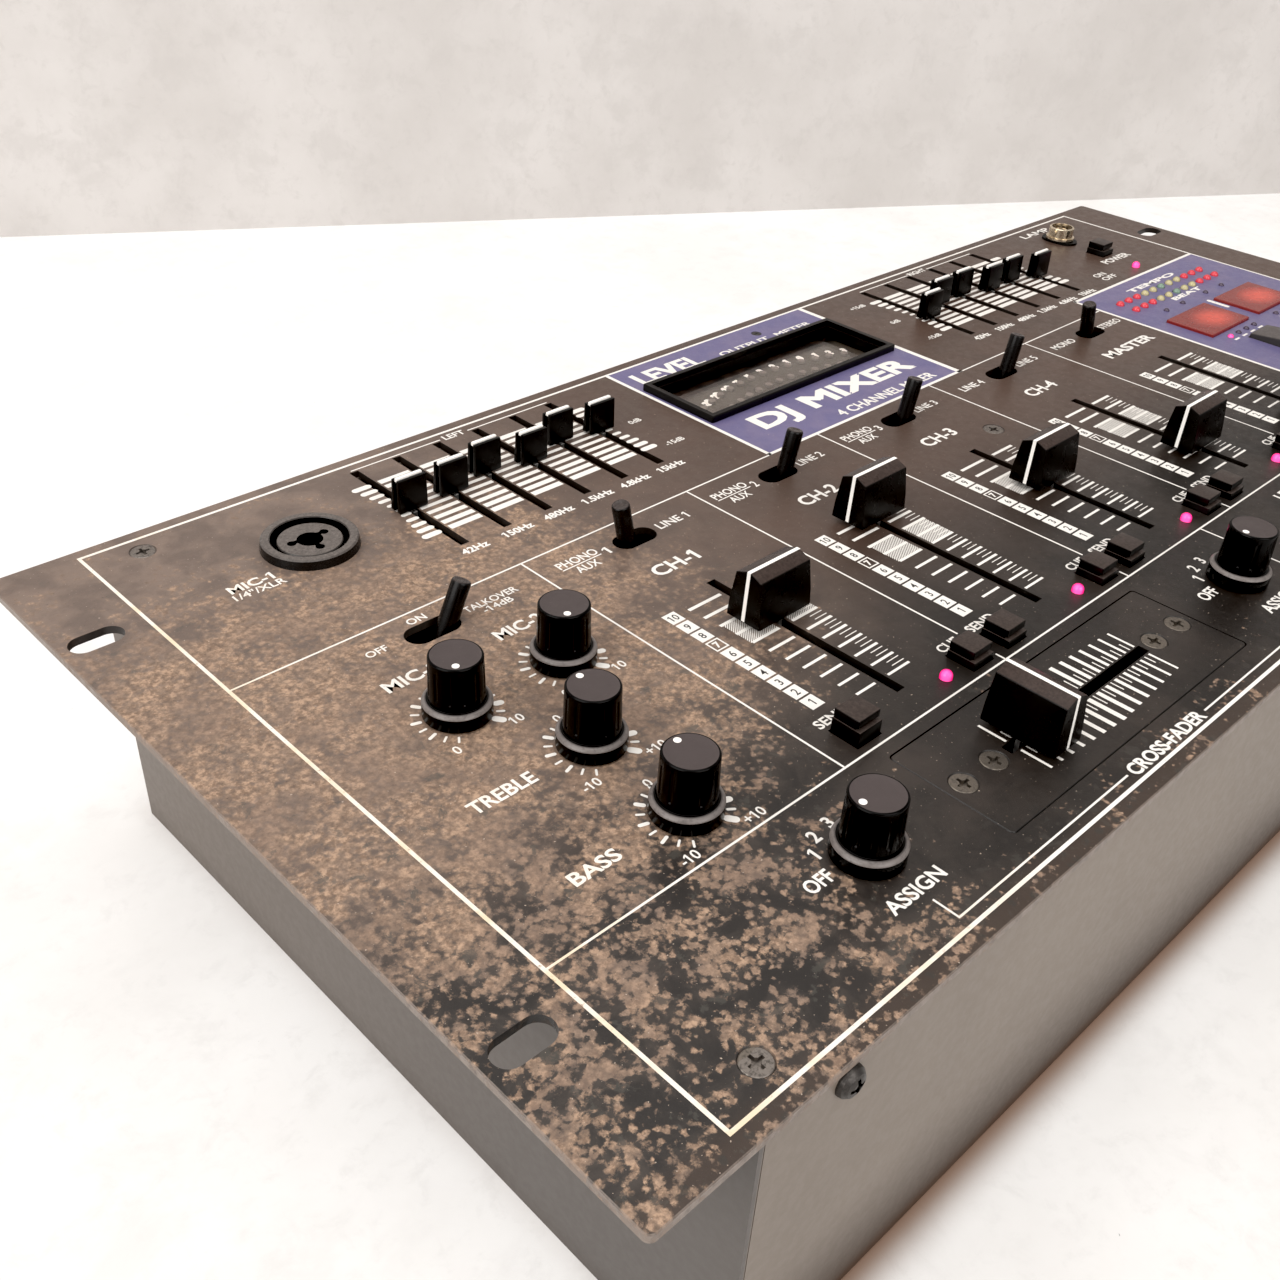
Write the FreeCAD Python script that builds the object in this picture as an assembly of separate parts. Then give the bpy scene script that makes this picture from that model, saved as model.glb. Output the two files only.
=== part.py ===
import FreeCAD, Part
import math
import os

# Rack-mount audio mixer with a flat top panel: five faders, a crossfader, two banks of
# equaliser sliders, knobs, toggles, buttons and a meter, over a sheet-metal case.
# Part frame: origin at the middle of the bottom rest face, +X right, +Y back, +Z up.
# All places below are layout coordinates: x from the panel's left edge, y from its
# front edge (operator side), z from its top surface. at() moves them to the part frame.
# Millimetres and degrees. A rectangle is (x0, x1, y0, y1).

os.makedirs("parts", exist_ok=True)
Vector = FreeCAD.Vector

# ------------------------------------------------------------ panel and case
PANEL_W, PANEL_D, PANEL_T = 482.6, 221.5, 2.0      # 19 inch, 5 rack units
HEIGHT = 81.2                                      # rest face to panel top
BOTTOM_Z = -HEIGHT
RACK_X = (8.73, PANEL_W - 8.73)
RACK_Y = (37.7, 183.8)
RACK_SLOT_L, RACK_SLOT_W = 12.7, 6.8
THROUGH = (-3, 1)                                  # z range that cuts right through the panel

CASE_X0, CASE_X1 = 23.9, PANEL_W - 23.9
CASE_Y0, CASE_Y1 = 0.5, 214.5
SHEET = 1.2
FLANGE_Z = -PANEL_T - SHEET                        # underside of the top flanges
CASE_SCREW_X, CASE_SCREW_Z = (45.5, PANEL_W - 45.5), -5.4
PANEL_SCREWS = [(33.5, 10.2), (449.1, 10.2), (34.0, 211.6), (448.6, 211.6), (258.6, 117.0)]
METER_SCREW = (257.0, 211.6)

# ------------------------------------------------------------------- sliders
EQ_PITCH, EQ_COUNT = 13.8, 6
EQ_BANKS = {                                       # first slot x, rest y of each slider
    "left": (96.2, (187.9, 188.5, 191.7, 188.4, 193.1, 190.7)),
    "right": (317.3, (183.8, 189.6, 190.0, 186.4, 186.9, 183.3)),
}
EQ_SLIDERS = {
    "%s_eq_slider_%d" % (bank, i + 1): (first_x + EQ_PITCH * i, rest_y)
    for bank, (first_x, rests) in EQ_BANKS.items() for i, rest_y in enumerate(rests)
}
EQ_Y0, EQ_Y1, EQ_SLOT_W = 164.8, 213.6, 2.7
EQ_BODY_Y = 188.8
EQ_CAP_W, EQ_CAP_H = 8.9, 9.7

FADER_X = [130.8 + 55.3 * i for i in range(5)]
FADER_NAMES = ("fader_ch1", "fader_ch2", "fader_ch3", "fader_ch4", "fader_master")
FADER_REST_Y = (94.2, 108.0, 89.7, 73.4, 62.0)
FADER_Y0, FADER_Y1, FADER_SLOT_W = 55.2, 113.0, 2.8
FADER_TRAVEL = (60.5, 108.5)
CAP_L, CAP_BASE, CAP_TOP = 18.2, 10.3, 7.6         # length, width at foot, width at shoulder
CAP_Z0, CAP_Z1, CAP_RIDGE = 1.5, 13.5, 14.8        # foot, shoulder, ridge
LEVER_T, LEVER_FOOT, LEVER_NECK = 1.2, 8.0, 3.0
LEVER_BOTTOM, LEVER_TOP = -9.0, 9.0

XF_PLATE = (110.0, 208.2, 12.6, 42.6)              # crossfader plate
XF_GAP, XF_PLATE_T = 0.25, 1.6
XF_Y = 27.8
XF_SLOT = (130.6, 187.4)
XF_REST_X = 138.6
XF_SCREWS = [(x, XF_Y) for x in (115.2, 126.0, 192.2, 203.3)]
XF_BRACKETS = ((106.0, 118.5), (199.9, 212.2))     # x ranges

# ------------------------------------------------- knobs, toggles and buttons
FRONT_ROW_Y = 27.9
KNOBS = {                                          # x, y, angle of the flute pattern
    "mic1_level_knob": (52.6, 111.4, 233.0),
    "mic2_level_knob": (81.9, 111.4, 238.0),
    "treble_knob": (66.9, 85.6, 90.0),
    "bass_knob": (66.8, 58.5, 84.0),
    "assign_left_knob": (84.1, FRONT_ROW_Y, 174.0),
    "assign_right_knob": (234.2, FRONT_ROW_Y, 176.0),
    "phones_level_knob": (292.0, FRONT_ROW_Y, 233.0),
}
KNOB_H, KNOB_R_TOP, KNOB_R_BOTTOM = 15.1, 5.80, 6.05
KNOB_BORE_TOP = KNOB_H - 4.0
FLUTE_COUNT, FLUTE_R, FLUTE_OFFSET, FLUTE_TILT = 12, 1.0, 0.80, 2.3
SKIRT_R, SKIRT_Z0, SKIRT_Z1 = 7.5, 0.3, 4.5
SHAFT_R, BUSH_BORE_R, BUSH_R = 3.0, 3.05, 3.9

TOGGLE_Y, TOGGLE_R = 139.6, 2.4
PIN_R, PIN_HALF = 1.0, 4.2                         # cross pin each lever rocks on
# lever length above the pivot, slot in the panel, width of the pocket in the body
CHANNEL_KIND = dict(pivot_z=-12.0, length=24.4, slot=(13.2, 6.8), pocket=12.0)
TALK_KIND = dict(pivot_z=-9.0, length=20.7, slot=(14.5, 7.2), pocket=14.0)
CHANNEL_LEAN, TALK_LEAN = 13.2, 25.0
TOGGLES = {                                        # x, lean (positive to the right), kind
    "input_toggle_ch1": (FADER_X[0], -CHANNEL_LEAN, CHANNEL_KIND),
    "input_toggle_ch2": (FADER_X[1], CHANNEL_LEAN, CHANNEL_KIND),
    "input_toggle_ch3": (FADER_X[2], CHANNEL_LEAN, CHANNEL_KIND),
    "input_toggle_ch4": (FADER_X[3], CHANNEL_LEAN, CHANNEL_KIND),
    "mono_stereo_toggle": (FADER_X[4], -CHANNEL_LEAN, CHANNEL_KIND),
    "talkover_toggle": (67.25, TALK_LEAN, TALK_KIND),
}

BUTTON_SIZE, BUTTON_GAP = 7.5, 0.3
BUTTON_Y = 52.5
BUTTONS = {}                                       # x, y, top z
for i, top_z in enumerate((6.2, 4.3, 4.3, 4.3)):
    BUTTONS["send_button_%d" % (i + 1)] = (111.3 + 55.15 * i, BUTTON_Y, top_z)
for i in range(4):
    BUTTONS["cue_button_%d" % (i + 1)] = (152.9 + 55.3 * i, BUTTON_Y, 4.3)
BUTTONS["power_button"] = (431.5, 182.6, 4.6)
TAPS = {"tap_button_left": (401.0, 92.6), "tap_button_right": (437.0, 92.6)}
TAP_W, TAP_D = 13.0, 17.6
STEM_W = 3.2                                       # square stem under buttons and taps

# ------------------------------------------------- jacks, meter and indicators
MIC_JACK = (66.5, 188.5)
LAMP = (431.5, 201.2)
PHONES_JACK = (330.0, FRONT_ROW_Y)
METER = (194.6, 283.2, 172.8, 202.8)
DISPLAYS = [(x0, x1, 109.4, 127.3) for x0, x1 in ((383.2, 411.0), (419.0, 446.8))]

CUE_LEDS = [(142.2 + 55.2 * i, 51.4) for i in range(4)]
POWER_LED = (428.9, 164.9)
BEAT_LEDS = [(385.2 + 6.05 * i, y) for y in (146.8, 140.3) for i in range(11)]
AUX_LEDS = [(x, 133.0) for x in (394.2, 406.4, 424.2, 436.9)]
STATUS_LEDS = [(first_x + 6.0 * i, 105.8) for first_x in (389.5, 425.3) for i in range(4)]
LED_GROUPS = (                                     # places, radius, top z
    (CUE_LEDS + [POWER_LED], 1.5, 2.0),
    (BEAT_LEDS, 1.5, 1.5),
    (AUX_LEDS + STATUS_LEDS, 1.0, 0.9),
)
LED_BOTTOM, LED_HOLE_GAP = -5.0, 0.1

# ---------------------------------------------------------- inside and rear
BODY_TOP = -PANEL_T - 0.05                         # control bodies stop just below the panel
PCB_Z, PCB_T = -27.0, 1.6
RCA_JACKS = [(70.0 + 26.0 * i, z) for i in range(11) for z in (-30.0, -50.0)]
INLET_X, INLET_Z = (398.0, 426.0), (-52.0, -30.0)


# ------------------------------------------------------------------- helpers
def at(x, y, z):
    """layout coordinates to the part frame"""
    return Vector(x - PANEL_W / 2, y - (CASE_Y0 + CASE_Y1) / 2, z + HEIGHT)


def rect_at(x, y, width, depth):
    return x - width / 2, x + width / 2, y - depth / 2, y + depth / 2


def inset(rect, margin):
    x0, x1, y0, y1 = rect
    return x0 + margin, x1 - margin, y0 + margin, y1 - margin


def box(x0, x1, y0, y1, z0, z1):
    return Part.makeBox(x1 - x0, y1 - y0, z1 - z0, at(x0, y0, z0))


def round_box(x0, x1, y0, y1, z0, z1, radius):
    """box with its vertical edges rounded"""
    block = box(x0, x1, y0, y1, z0, z1)
    upright = [e for e in block.Edges if abs(e.tangentAt(e.FirstParameter).z) > 0.99]
    return block.makeFillet(radius, upright)


def cyl(x, y, z0, z1, radius, top_radius=None):
    if top_radius is None:
        return Part.makeCylinder(radius, z1 - z0, at(x, y, z0))
    return Part.makeCone(radius, top_radius, z1 - z0, at(x, y, z0))


def y_cyl(x, y, z, length, radius):
    """cylinder that runs backwards from y"""
    return Part.makeCylinder(radius, length, at(x, y, z), Vector(0, 1, 0))


def wall_hole(x, wall_y, z, radius=1.8):
    """cutter for a hole through the front or rear wall"""
    return y_cyl(x, wall_y - 4, z, 8, radius)


def stadium(x, y, length, width, z0, z1, along="x"):
    """slot shape with round ends"""
    radius = width / 2
    half = length / 2 - radius
    dx, dy = (half, 0) if along == "x" else (0, half)
    rect = (length - width, width) if along == "x" else (width, length - width)
    middle = box(*rect_at(x, y, *rect), z0, z1)
    ends = [cyl(x - dx, y - dy, z0, z1, radius), cyl(x + dx, y + dy, z0, z1, radius)]
    return middle.fuse(ends).removeSplitter()


def polygon_face(points):
    return Part.Face(Part.makePolygon(points + [points[0]]))


def revolve(x, y, profile):
    """closed (radius, z) profile turned about the vertical axis at x, y"""
    face = polygon_face([Vector(radius, 0, z) for radius, z in profile])
    solid = face.revolve(Vector(0, 0, 0), Vector(0, 0, 1), 360)
    if solid.ShapeType != "Solid":
        solid = solid.Solids[0]
    solid.translate(at(x, y, 0))
    return solid


def turn_and_place(shape, axis, angle, x, y, z):
    """turns a shape built at the layout origin about that origin, then moves it"""
    shape.translate(-at(0, 0, 0))
    shape.rotate(Vector(0, 0, 0), axis, angle)
    shape.translate(at(x, y, z))
    return shape


def level_edges(shape, z, min_length=0.0):
    """edges that lie flat at layout height z and span at least min_length in x"""
    level = z + HEIGHT
    return [e for e in shape.Edges
            if abs(e.BoundBox.ZMin - level) < 0.01 and abs(e.BoundBox.ZMax - level) < 0.01
            and e.BoundBox.XLength >= min_length]


def chamfer_top(shape, z, size):
    return shape.makeChamfer(size, level_edges(shape, z, -1.0))


def save(name, shapes):
    solids = [solid for shape in shapes for solid in shape.Solids]
    assert solids, name
    for solid in solids:
        assert solid.isValid() and solid.Volume > 0.01, (name, solid.Volume)
    result = solids[0] if len(solids) == 1 else Part.makeCompound(solids)
    result.exportStep("parts/%s.step" % name)


# ------------------------------------------------------------ panel and case
def countersink(x, y):
    """cutters for a countersunk hole in the top surface"""
    return [cyl(x, y, -4, 1, 1.7), cyl(x, y, -1.6, 0.05, 1.7, 3.35)]


def top_panel():
    panel = round_box(0, PANEL_W, 0, PANEL_D, -PANEL_T, 0, 1.6)
    panel = chamfer_top(panel, 0, 0.25)
    cuts = [stadium(x, y, RACK_SLOT_L, RACK_SLOT_W, *THROUGH) for x in RACK_X for y in RACK_Y]
    slots = [(x, EQ_SLOT_W, EQ_Y0, EQ_Y1) for x, y in EQ_SLIDERS.values()]
    slots += [(x, FADER_SLOT_W, FADER_Y0, FADER_Y1) for x in FADER_X]
    for x, width, y0, y1 in slots:
        cuts.append(box(x - width / 2, x + width / 2, y0, y1, *THROUGH))
    cuts.append(round_box(*inset(XF_PLATE, -XF_GAP), *THROUGH, 1.2))
    for x, lean, kind in TOGGLES.values():
        cuts.append(stadium(x, TOGGLE_Y, *kind["slot"], *THROUGH))
    for x, y, angle in KNOBS.values():
        cuts.append(cyl(x, y, *THROUGH, BUSH_R + 0.1))
    caps = [rect_at(x, y, BUTTON_SIZE, BUTTON_SIZE) for x, y, top in BUTTONS.values()]
    caps += [rect_at(x, y, TAP_W, TAP_D) for x, y in TAPS.values()]
    for rect in caps:
        cuts.append(box(*inset(rect, -BUTTON_GAP), *THROUGH))
    cuts.append(cyl(*MIC_JACK, *THROUGH, 11.2))
    cuts.append(stadium(*LAMP, 15.0, 10.0, *THROUGH, "y"))
    cuts.append(cyl(*PHONES_JACK, *THROUGH, 4.9))
    cuts.append(box(*inset(METER, 1.6), *THROUGH))
    for rect in DISPLAYS:
        cuts.append(box(*inset(rect, -0.15), *THROUGH))
    for places, radius, top in LED_GROUPS:
        cuts += [cyl(x, y, *THROUGH, radius + LED_HOLE_GAP) for x, y in places]
    for x, y in PANEL_SCREWS:
        cuts += countersink(x, y)
    cuts.append(cyl(*METER_SCREW, -4, 1, 1.1))
    cuts.append(cyl(*METER_SCREW, -0.85, 0.05, 1.1, 1.85))
    return [panel.cut(cuts)]


def chassis_tray():
    """bottom, front wall and rear wall bent from one sheet, with return flanges
    under the panel along the front and the back"""
    x0, x1 = CASE_X0 + SHEET + 0.2, CASE_X1 - SHEET - 0.2
    outer = box(x0, x1, CASE_Y0, CASE_Y1, BOTTOM_Z, -PANEL_T)
    outer = outer.makeFillet(1.6, level_edges(outer, BOTTOM_Z, 100))
    floor_z = BOTTOM_Z + SHEET
    inner = box(x0 - 1, x1 + 1, CASE_Y0 + SHEET, CASE_Y1 - SHEET, floor_z, FLANGE_Z)
    inner = inner.makeFillet(0.4, level_edges(inner, floor_z, 100))
    opening = box(x0 - 1, x1 + 1, CASE_Y0 + 11.5, CASE_Y1 - 8.0, FLANGE_Z - 1, 1)
    tray = outer.cut([inner, opening])

    cuts = [cyl(x, y, -10, 0, 1.6) for x, y in PANEL_SCREWS]
    cuts.append(cyl(*METER_SCREW, -10, 0, 1.1))
    # clear the flanges around the controls that sit near the panel edges
    notches = [(first_x - 8, first_x + (EQ_COUNT - 1) * EQ_PITCH + 8, 200, CASE_Y1 - SHEET)
               for first_x, rests in EQ_BANKS.values()]
    notches += [(left - 1, right + 1, 6.0, 12.6) for left, right in XF_BRACKETS]
    notches.append((LAMP[0] - 9, LAMP[0] + 9, 190, CASE_Y1 - SHEET))
    cuts += [box(*rect, FLANGE_Z - 0.1, 0) for rect in notches]
    cuts += [wall_hole(x, y, CASE_SCREW_Z) for x in CASE_SCREW_X for y in (CASE_Y0, CASE_Y1)]
    cuts += [wall_hole(x, CASE_Y1, z, 4.3) for x, z in RCA_JACKS]
    cuts.append(box(*INLET_X, CASE_Y1 - 5, CASE_Y1 + 5, *INLET_Z))
    return [tray.cut(cuts)]


def side_plate(outer_x, inward, screw_x):
    """flat side sheet with return flanges along the top, front and rear"""
    def slab(near, far, *bounds):
        lo, hi = sorted((outer_x + inward * near, outer_x + inward * far))
        return box(lo, hi, *bounds)

    lap = SHEET - 0.2                              # flanges start inside the sheet
    end_z = (BOTTOM_Z + SHEET + 0.6, FLANGE_Z - 0.1)
    front_y, rear_y = CASE_Y0 + SHEET + 0.1, CASE_Y1 - SHEET - 0.1
    plate = slab(0, SHEET, CASE_Y0, CASE_Y1, BOTTOM_Z, -PANEL_T)
    plate = plate.fuse([
        slab(lap, 10.5, CASE_Y0 + 13, CASE_Y1 - 10, FLANGE_Z, -PANEL_T),
        slab(lap, 28, front_y, front_y + SHEET, *end_z),
        slab(lap, 28, rear_y - SHEET, rear_y, *end_z),
    ])
    plate = plate.removeSplitter().cut(
        [wall_hole(screw_x, y, CASE_SCREW_Z) for y in (CASE_Y0 + 2, CASE_Y1 - 2)])
    return plate.cut([cyl(x, y, -10.5, 0, 2.2) for x, y in PANEL_SCREWS])


def crossfader_plate():
    plate = round_box(*XF_PLATE, -XF_PLATE_T, 0, 1.0)
    plate = chamfer_top(plate, 0, 0.2)
    cuts = [box(*XF_SLOT, XF_Y - 1.4, XF_Y + 1.4, *THROUGH)]
    for x, y in XF_SCREWS:
        cuts += countersink(x, y)
    return [plate.cut(cuts)]


# -------------------------------------------------------------------- screws
def cross_recess(x, y, top, depth, width=0.75, length=3.4):
    z_range = (top - depth, top + 0.2)
    bar = box(*rect_at(x, y, length, width), *z_range)
    return bar.fuse([box(*rect_at(x, y, width, length), *z_range), cyl(x, y, *z_range, 0.85)])


def countersunk_screw(x, y, length):
    top = -0.08
    tip = top - length
    screw = revolve(x, y, [
        (0, top), (2.85, top), (3.05, top - 0.12), (1.5, top - 1.67),
        (1.5, tip + 0.6), (0.9, tip), (0, tip)])
    return screw.cut(cross_recess(x, y, top, 0.95))


def meter_screw(x, y, length):
    """small slotted countersunk screw"""
    top = -0.05
    tip = top - length
    screw = revolve(x, y, [
        (0, top), (1.45, top), (1.6, top - 0.12), (0.95, top - 0.75),
        (0.95, tip + 0.4), (0.6, tip), (0, tip)])
    return screw.cut([box(*rect_at(x, y, 1.9, 0.36), top - 0.5, 1)])


def panel_screws():
    screws = [countersunk_screw(x, y, 8.0) for x, y in PANEL_SCREWS]
    screws += [countersunk_screw(x, y, 7.0) for x, y in XF_SCREWS]
    return screws + [meter_screw(*METER_SCREW, 6.0)]


def case_screw(x, y, angle):
    """pan head screw with cross recess, turned about X so that the head is outside"""
    screw = revolve(0, 0, [
        (0, 2.4), (1.3, 2.3), (2.4, 1.9), (3.1, 1.1), (3.25, 0.4), (3.25, 0),
        (1.6, 0), (1.6, -6.4), (1.0, -7), (0, -7)])
    screw = screw.cut(cross_recess(0, 0, 2.4, 1.3, 0.8, 3.6))
    return turn_and_place(screw, Vector(1, 0, 0), angle, x, y, CASE_SCREW_Z)


# ------------------------------------------------- jacks, meter and indicators
def mic_combo_jack():
    x, y = MIC_JACK
    jack = revolve(x, y, [
        (0, 1.7), (7.9, 1.7), (8.15, 1.45), (8.15, -3.0), (9.6, -3.0), (9.6, 2.35),
        (9.85, 2.6), (11.6, 2.6), (12.0, 2.3), (12.3, 0.0), (11.0, 0.0), (11.0, -24.0),
        (0, -24.0)])
    cuts = [cyl(x, y, -16, 3, 3.25)]
    for dx, dy in ((-4.6, 0.9), (4.6, 0.9), (0.0, -4.6)):
        cuts.append(cyl(x + dx, y + dy, -14, 3, 1.15))
    cuts.append(box(x - 4.6, x + 4.6, y + 0.2, y + 1.6, -4, 3))
    cuts.append(box(x - 0.7, x + 0.7, y - 4.6, y, -4, 3))
    return [jack.cut(cuts)]


def headphone_jack():
    return [revolve(*PHONES_JACK, [
        (3.25, 3.0), (5.6, 3.0), (6.0, 2.6), (6.0, 0.0), (4.8, 0.0), (4.8, -4.0),
        (7.5, -4.0), (7.5, -26.0), (0, -26.0), (0, -24.0), (3.25, -24.0)])]


def meter_bezel():
    top = 2.2
    bezel = chamfer_top(round_box(*METER, 0, top, 0.6), top, 0.3)
    bezel = bezel.fuse(box(*inset(METER, 1.7), -4.2, 0.2)).removeSplitter()
    return [bezel.cut([box(*inset(METER, 2.7), -5, 3), box(*inset(METER, 1.9), 0.4, 3)])]


def meter_board():
    """board with two arcs of round lamps on it"""
    arc_x, arc_y, stretch_x = 239.4, 100.5, 1.02
    lamp_count, step = 13, 3.55
    board_top = -4.5
    solids = [box(*inset(METER, 0.5), -6.0, board_top)]
    for radius in (92.0, 84.8):
        for i in range(lamp_count):
            angle = math.radians(90 + (i - lamp_count // 2) * step)
            x = arc_x + radius * math.cos(angle) * stretch_x
            y = arc_y + radius * math.sin(angle)
            solids.append(cyl(x, y, board_top, board_top + 1.0, 1.2))
    return solids


def display_lens(rect):
    return chamfer_top(round_box(*rect, -4.0, 1.0, 0.4), 1.0, 0.2)


def led(x, y, radius, top):
    """cylinder with a half-round top"""
    spring_z = top - radius
    ball = Part.makeSphere(radius, at(x, y, spring_z))
    dome = ball.common(box(*rect_at(x, y, 6, 6), spring_z, top + 1))
    return cyl(x, y, LED_BOTTOM, spring_z, radius).fuse(dome).removeSplitter()


def lamp_socket():
    x, y = LAMP
    shell = revolve(x, y, [
        (0, -10), (4.0, -10), (4.0, 0.9), (5.6, 0.9), (5.6, 2.0), (4.85, 2.1), (4.85, 5.5),
        (4.6, 5.8), (4.1, 5.8), (4.1, 1.4), (2.2, 1.4), (2.2, 4.6), (1.2, 4.6), (1.2, 1.9),
        (0, 1.9)])
    reach = 6.2                                    # lugs stick out left and right
    lugs = Part.makeCylinder(0.9, 2 * reach, at(x - reach, y, 4.2), Vector(1, 0, 0))
    lugs = lugs.cut(cyl(x, y, 0, 8, 4.5))
    shell = shell.fuse(lugs.Solids).removeSplitter()
    base = stadium(x, y, 14.6, 9.6, -1.9, 0.8, "y").cut(cyl(x, y, -3, 3, 4.05))
    return [shell, base]


# -------------------------------------------------------------------- knobs
def knob(x, y, pattern_angle):
    """skirted fluted knob, and the shaft it sits on"""
    body = revolve(x, y, [
        (SHAFT_R, SKIRT_Z0), (SKIRT_R - 0.25, SKIRT_Z0), (SKIRT_R, SKIRT_Z0 + 0.25),
        (SKIRT_R, SKIRT_Z1 - 0.9), (SKIRT_R - 0.75, SKIRT_Z1), (KNOB_R_BOTTOM, SKIRT_Z1),
        (KNOB_R_TOP + 0.03, KNOB_H - 0.45), (KNOB_R_TOP - 0.12, KNOB_H - 0.12),
        (KNOB_R_TOP - 0.4, KNOB_H), (0, KNOB_H), (0, KNOB_BORE_TOP), (SHAFT_R, KNOB_BORE_TOP)])
    flute_z = SKIRT_Z1 + 2.1
    flute_h = KNOB_H - 1.6 - flute_z
    ring_r = KNOB_R_BOTTOM + FLUTE_OFFSET
    step = 360 / FLUTE_COUNT
    flutes = []
    for i in range(FLUTE_COUNT):
        angle = math.radians(pattern_angle + step / 2 + step * i)
        foot = at(x + ring_r * math.cos(angle), y + ring_r * math.sin(angle), flute_z)
        flute = Part.makeCone(FLUTE_R, FLUTE_R * 0.96, flute_h, foot)
        # lean in with the tapering wall
        flute.rotate(foot, Vector(-math.sin(angle), math.cos(angle), 0), -FLUTE_TILT)
        flutes.append(flute)
    return [body.cut(flutes), cyl(x, y, -13.5, KNOB_BORE_TOP, SHAFT_R)]


# ------------------------------------------------------------------- sliders
def fader_cap(x, y, travel):
    """wedge cap: long side across the travel, ridge line along the long side"""
    half_l, half_base, half_top, half_ridge = CAP_L / 2, CAP_BASE / 2, CAP_TOP / 2, 0.65
    section = [(-half_base, CAP_Z0), (half_base, CAP_Z0), (half_top, CAP_Z1),
               (half_ridge, CAP_RIDGE), (-half_ridge, CAP_RIDGE), (-half_top, CAP_Z1)]
    cap = polygon_face([Vector(-half_l, y_off, z) for y_off, z in section])
    cap = cap.extrude(Vector(CAP_L, 0, 0))
    lean = 0.55                                    # the two ends lean in towards the top
    low, high = CAP_Z0 - 1, CAP_RIDGE + 1
    wedges = []
    for sign in (-1, 1):
        corners = [(half_l, low), (half_l + 3, low), (half_l + 3, high), (half_l - lean, high)]
        end = polygon_face([Vector(sign * x_off, -9, z) for x_off, z in corners])
        wedges.append(end.extrude(Vector(0, 18, 0)))
    cap = cap.cut(wedges)
    # every edge except those around the foot
    cap = cap.makeChamfer(0.28, [e for e in cap.Edges if e.BoundBox.ZMin > CAP_Z0 + 0.1
                                 or e.BoundBox.ZLength > 8])
    hollow = Part.makeBox(6.4, 4.4, 3.6, Vector(-3.2, -2.2, CAP_Z0 - 0.1))
    grip = Part.makeBox(LEVER_T, LEVER_NECK, LEVER_TOP - CAP_Z0,
                        Vector(-LEVER_T / 2, -LEVER_NECK / 2, CAP_Z0))
    cap = cap.cut([hollow, grip])
    if travel == "x":
        cap.rotate(Vector(0, 0, 0), Vector(0, 0, 1), 90)
    cap.translate(at(x, y, 0))
    return cap


def fader_lever(x, y, travel):
    """flat lever: wide foot in the slot, narrow tang up in the cap"""
    def flat(width, z0, z1):
        size = (LEVER_T, width) if travel == "y" else (width, LEVER_T)
        return box(*rect_at(x, y, *size), z0, z1)

    foot = flat(LEVER_FOOT, LEVER_BOTTOM, 0.9)
    return foot.fuse(flat(LEVER_NECK, 0.8, LEVER_TOP)).removeSplitter()


def fader(x, y, travel):
    return [fader_cap(x, y, travel), fader_lever(x, y, travel)]


def eq_slider(x, y):
    """cap of a front and a back slab joined by a web, on a flat lever"""
    def slab(half_w, front, back, z0, z1):
        return box(x - half_w, x + half_w, y + front, y + back, z0, z1)

    half_w, z0 = EQ_CAP_W / 2, 0.4
    lever_half, socket_top = 0.6, z0 + 5.0
    cap = slab(half_w, -1.9, -0.55, z0, EQ_CAP_H).fuse([
        slab(half_w, 0.75, 2.35, z0, EQ_CAP_H),
        slab(half_w - 0.75, -0.8, 1.0, z0, EQ_CAP_H - 0.05)]).removeSplitter()
    ridge = slab(half_w - 0.5, -0.5, 0.7, EQ_CAP_H - 2.5, EQ_CAP_H + 0.25)
    cap = cap.fuse(ridge).removeSplitter()
    cap = cap.cut(slab(lever_half, -0.6, 0.8, z0 - 1, socket_top))
    lever = slab(lever_half, -0.6, 0.8, -7.0, socket_top)
    foot = slab(lever_half, -2.4, 2.6, -7.0, 0.0)
    return [cap, lever.fuse(foot).removeSplitter()]


# ------------------------------------------------------- toggles and buttons
def toggle(x, lean, kind):
    length, pivot_z = kind["length"], kind["pivot_z"]
    lever = revolve(0, 0, [
        (0, -2.2), (1.6, -2.2), (2.2, -1.2), (2.2, 3), (TOGGLE_R, 6),
        (TOGGLE_R - 0.1, length - 0.3), (TOGGLE_R - 0.4, length), (1.5, length),
        (0.0, length - 0.35)])
    turn_and_place(lever, Vector(0, 1, 0), lean, x, TOGGLE_Y, pivot_z)
    pin = y_cyl(x, TOGGLE_Y - PIN_HALF, pivot_z, 2 * PIN_HALF, PIN_R)
    return [lever.fuse(pin).removeSplitter()]


def button(x, y, top):
    """stepped cap: upper slab set back from a lower ledge at the front"""
    half = BUTTON_SIZE / 2
    back = y + half - 0.1
    low = box(*rect_at(x, y, BUTTON_SIZE, BUTTON_SIZE), top - 11.2, top - 2.5)
    neck = box(x - half + 0.25, x + half - 0.25, y - half + 1.5, back, top - 2.6, top - 1.9)
    upper = box(x - half + 0.2, x + half - 0.2, y - half + 0.75, back, top - 1.95, top)
    upper = chamfer_top(upper, top, 0.22)
    stem = box(*rect_at(x, y, STEM_W, STEM_W), top - 16.0, top - 11.1)
    return [low.fuse([neck, upper, stem]).removeSplitter()]


def tap_button(x, y):
    """wide pad that rises towards the operator"""
    left, front, back = x - TAP_W / 2, y - TAP_D / 2, y + TAP_D / 2
    profile = [(front, -6.0), (back, -6.0), (back, 1.5), (front, 3.4)]
    pad = polygon_face([at(left, edge_y, z) for edge_y, z in profile])
    pad = pad.extrude(Vector(TAP_W, 0, 0))
    pad = pad.makeChamfer(0.3, [e for e in pad.Edges if e.BoundBox.ZMin > HEIGHT + 1.0])
    stem = box(*rect_at(x, y, STEM_W, STEM_W), -11.0, -5.9)
    return [pad.fuse(stem).removeSplitter()]


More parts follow.
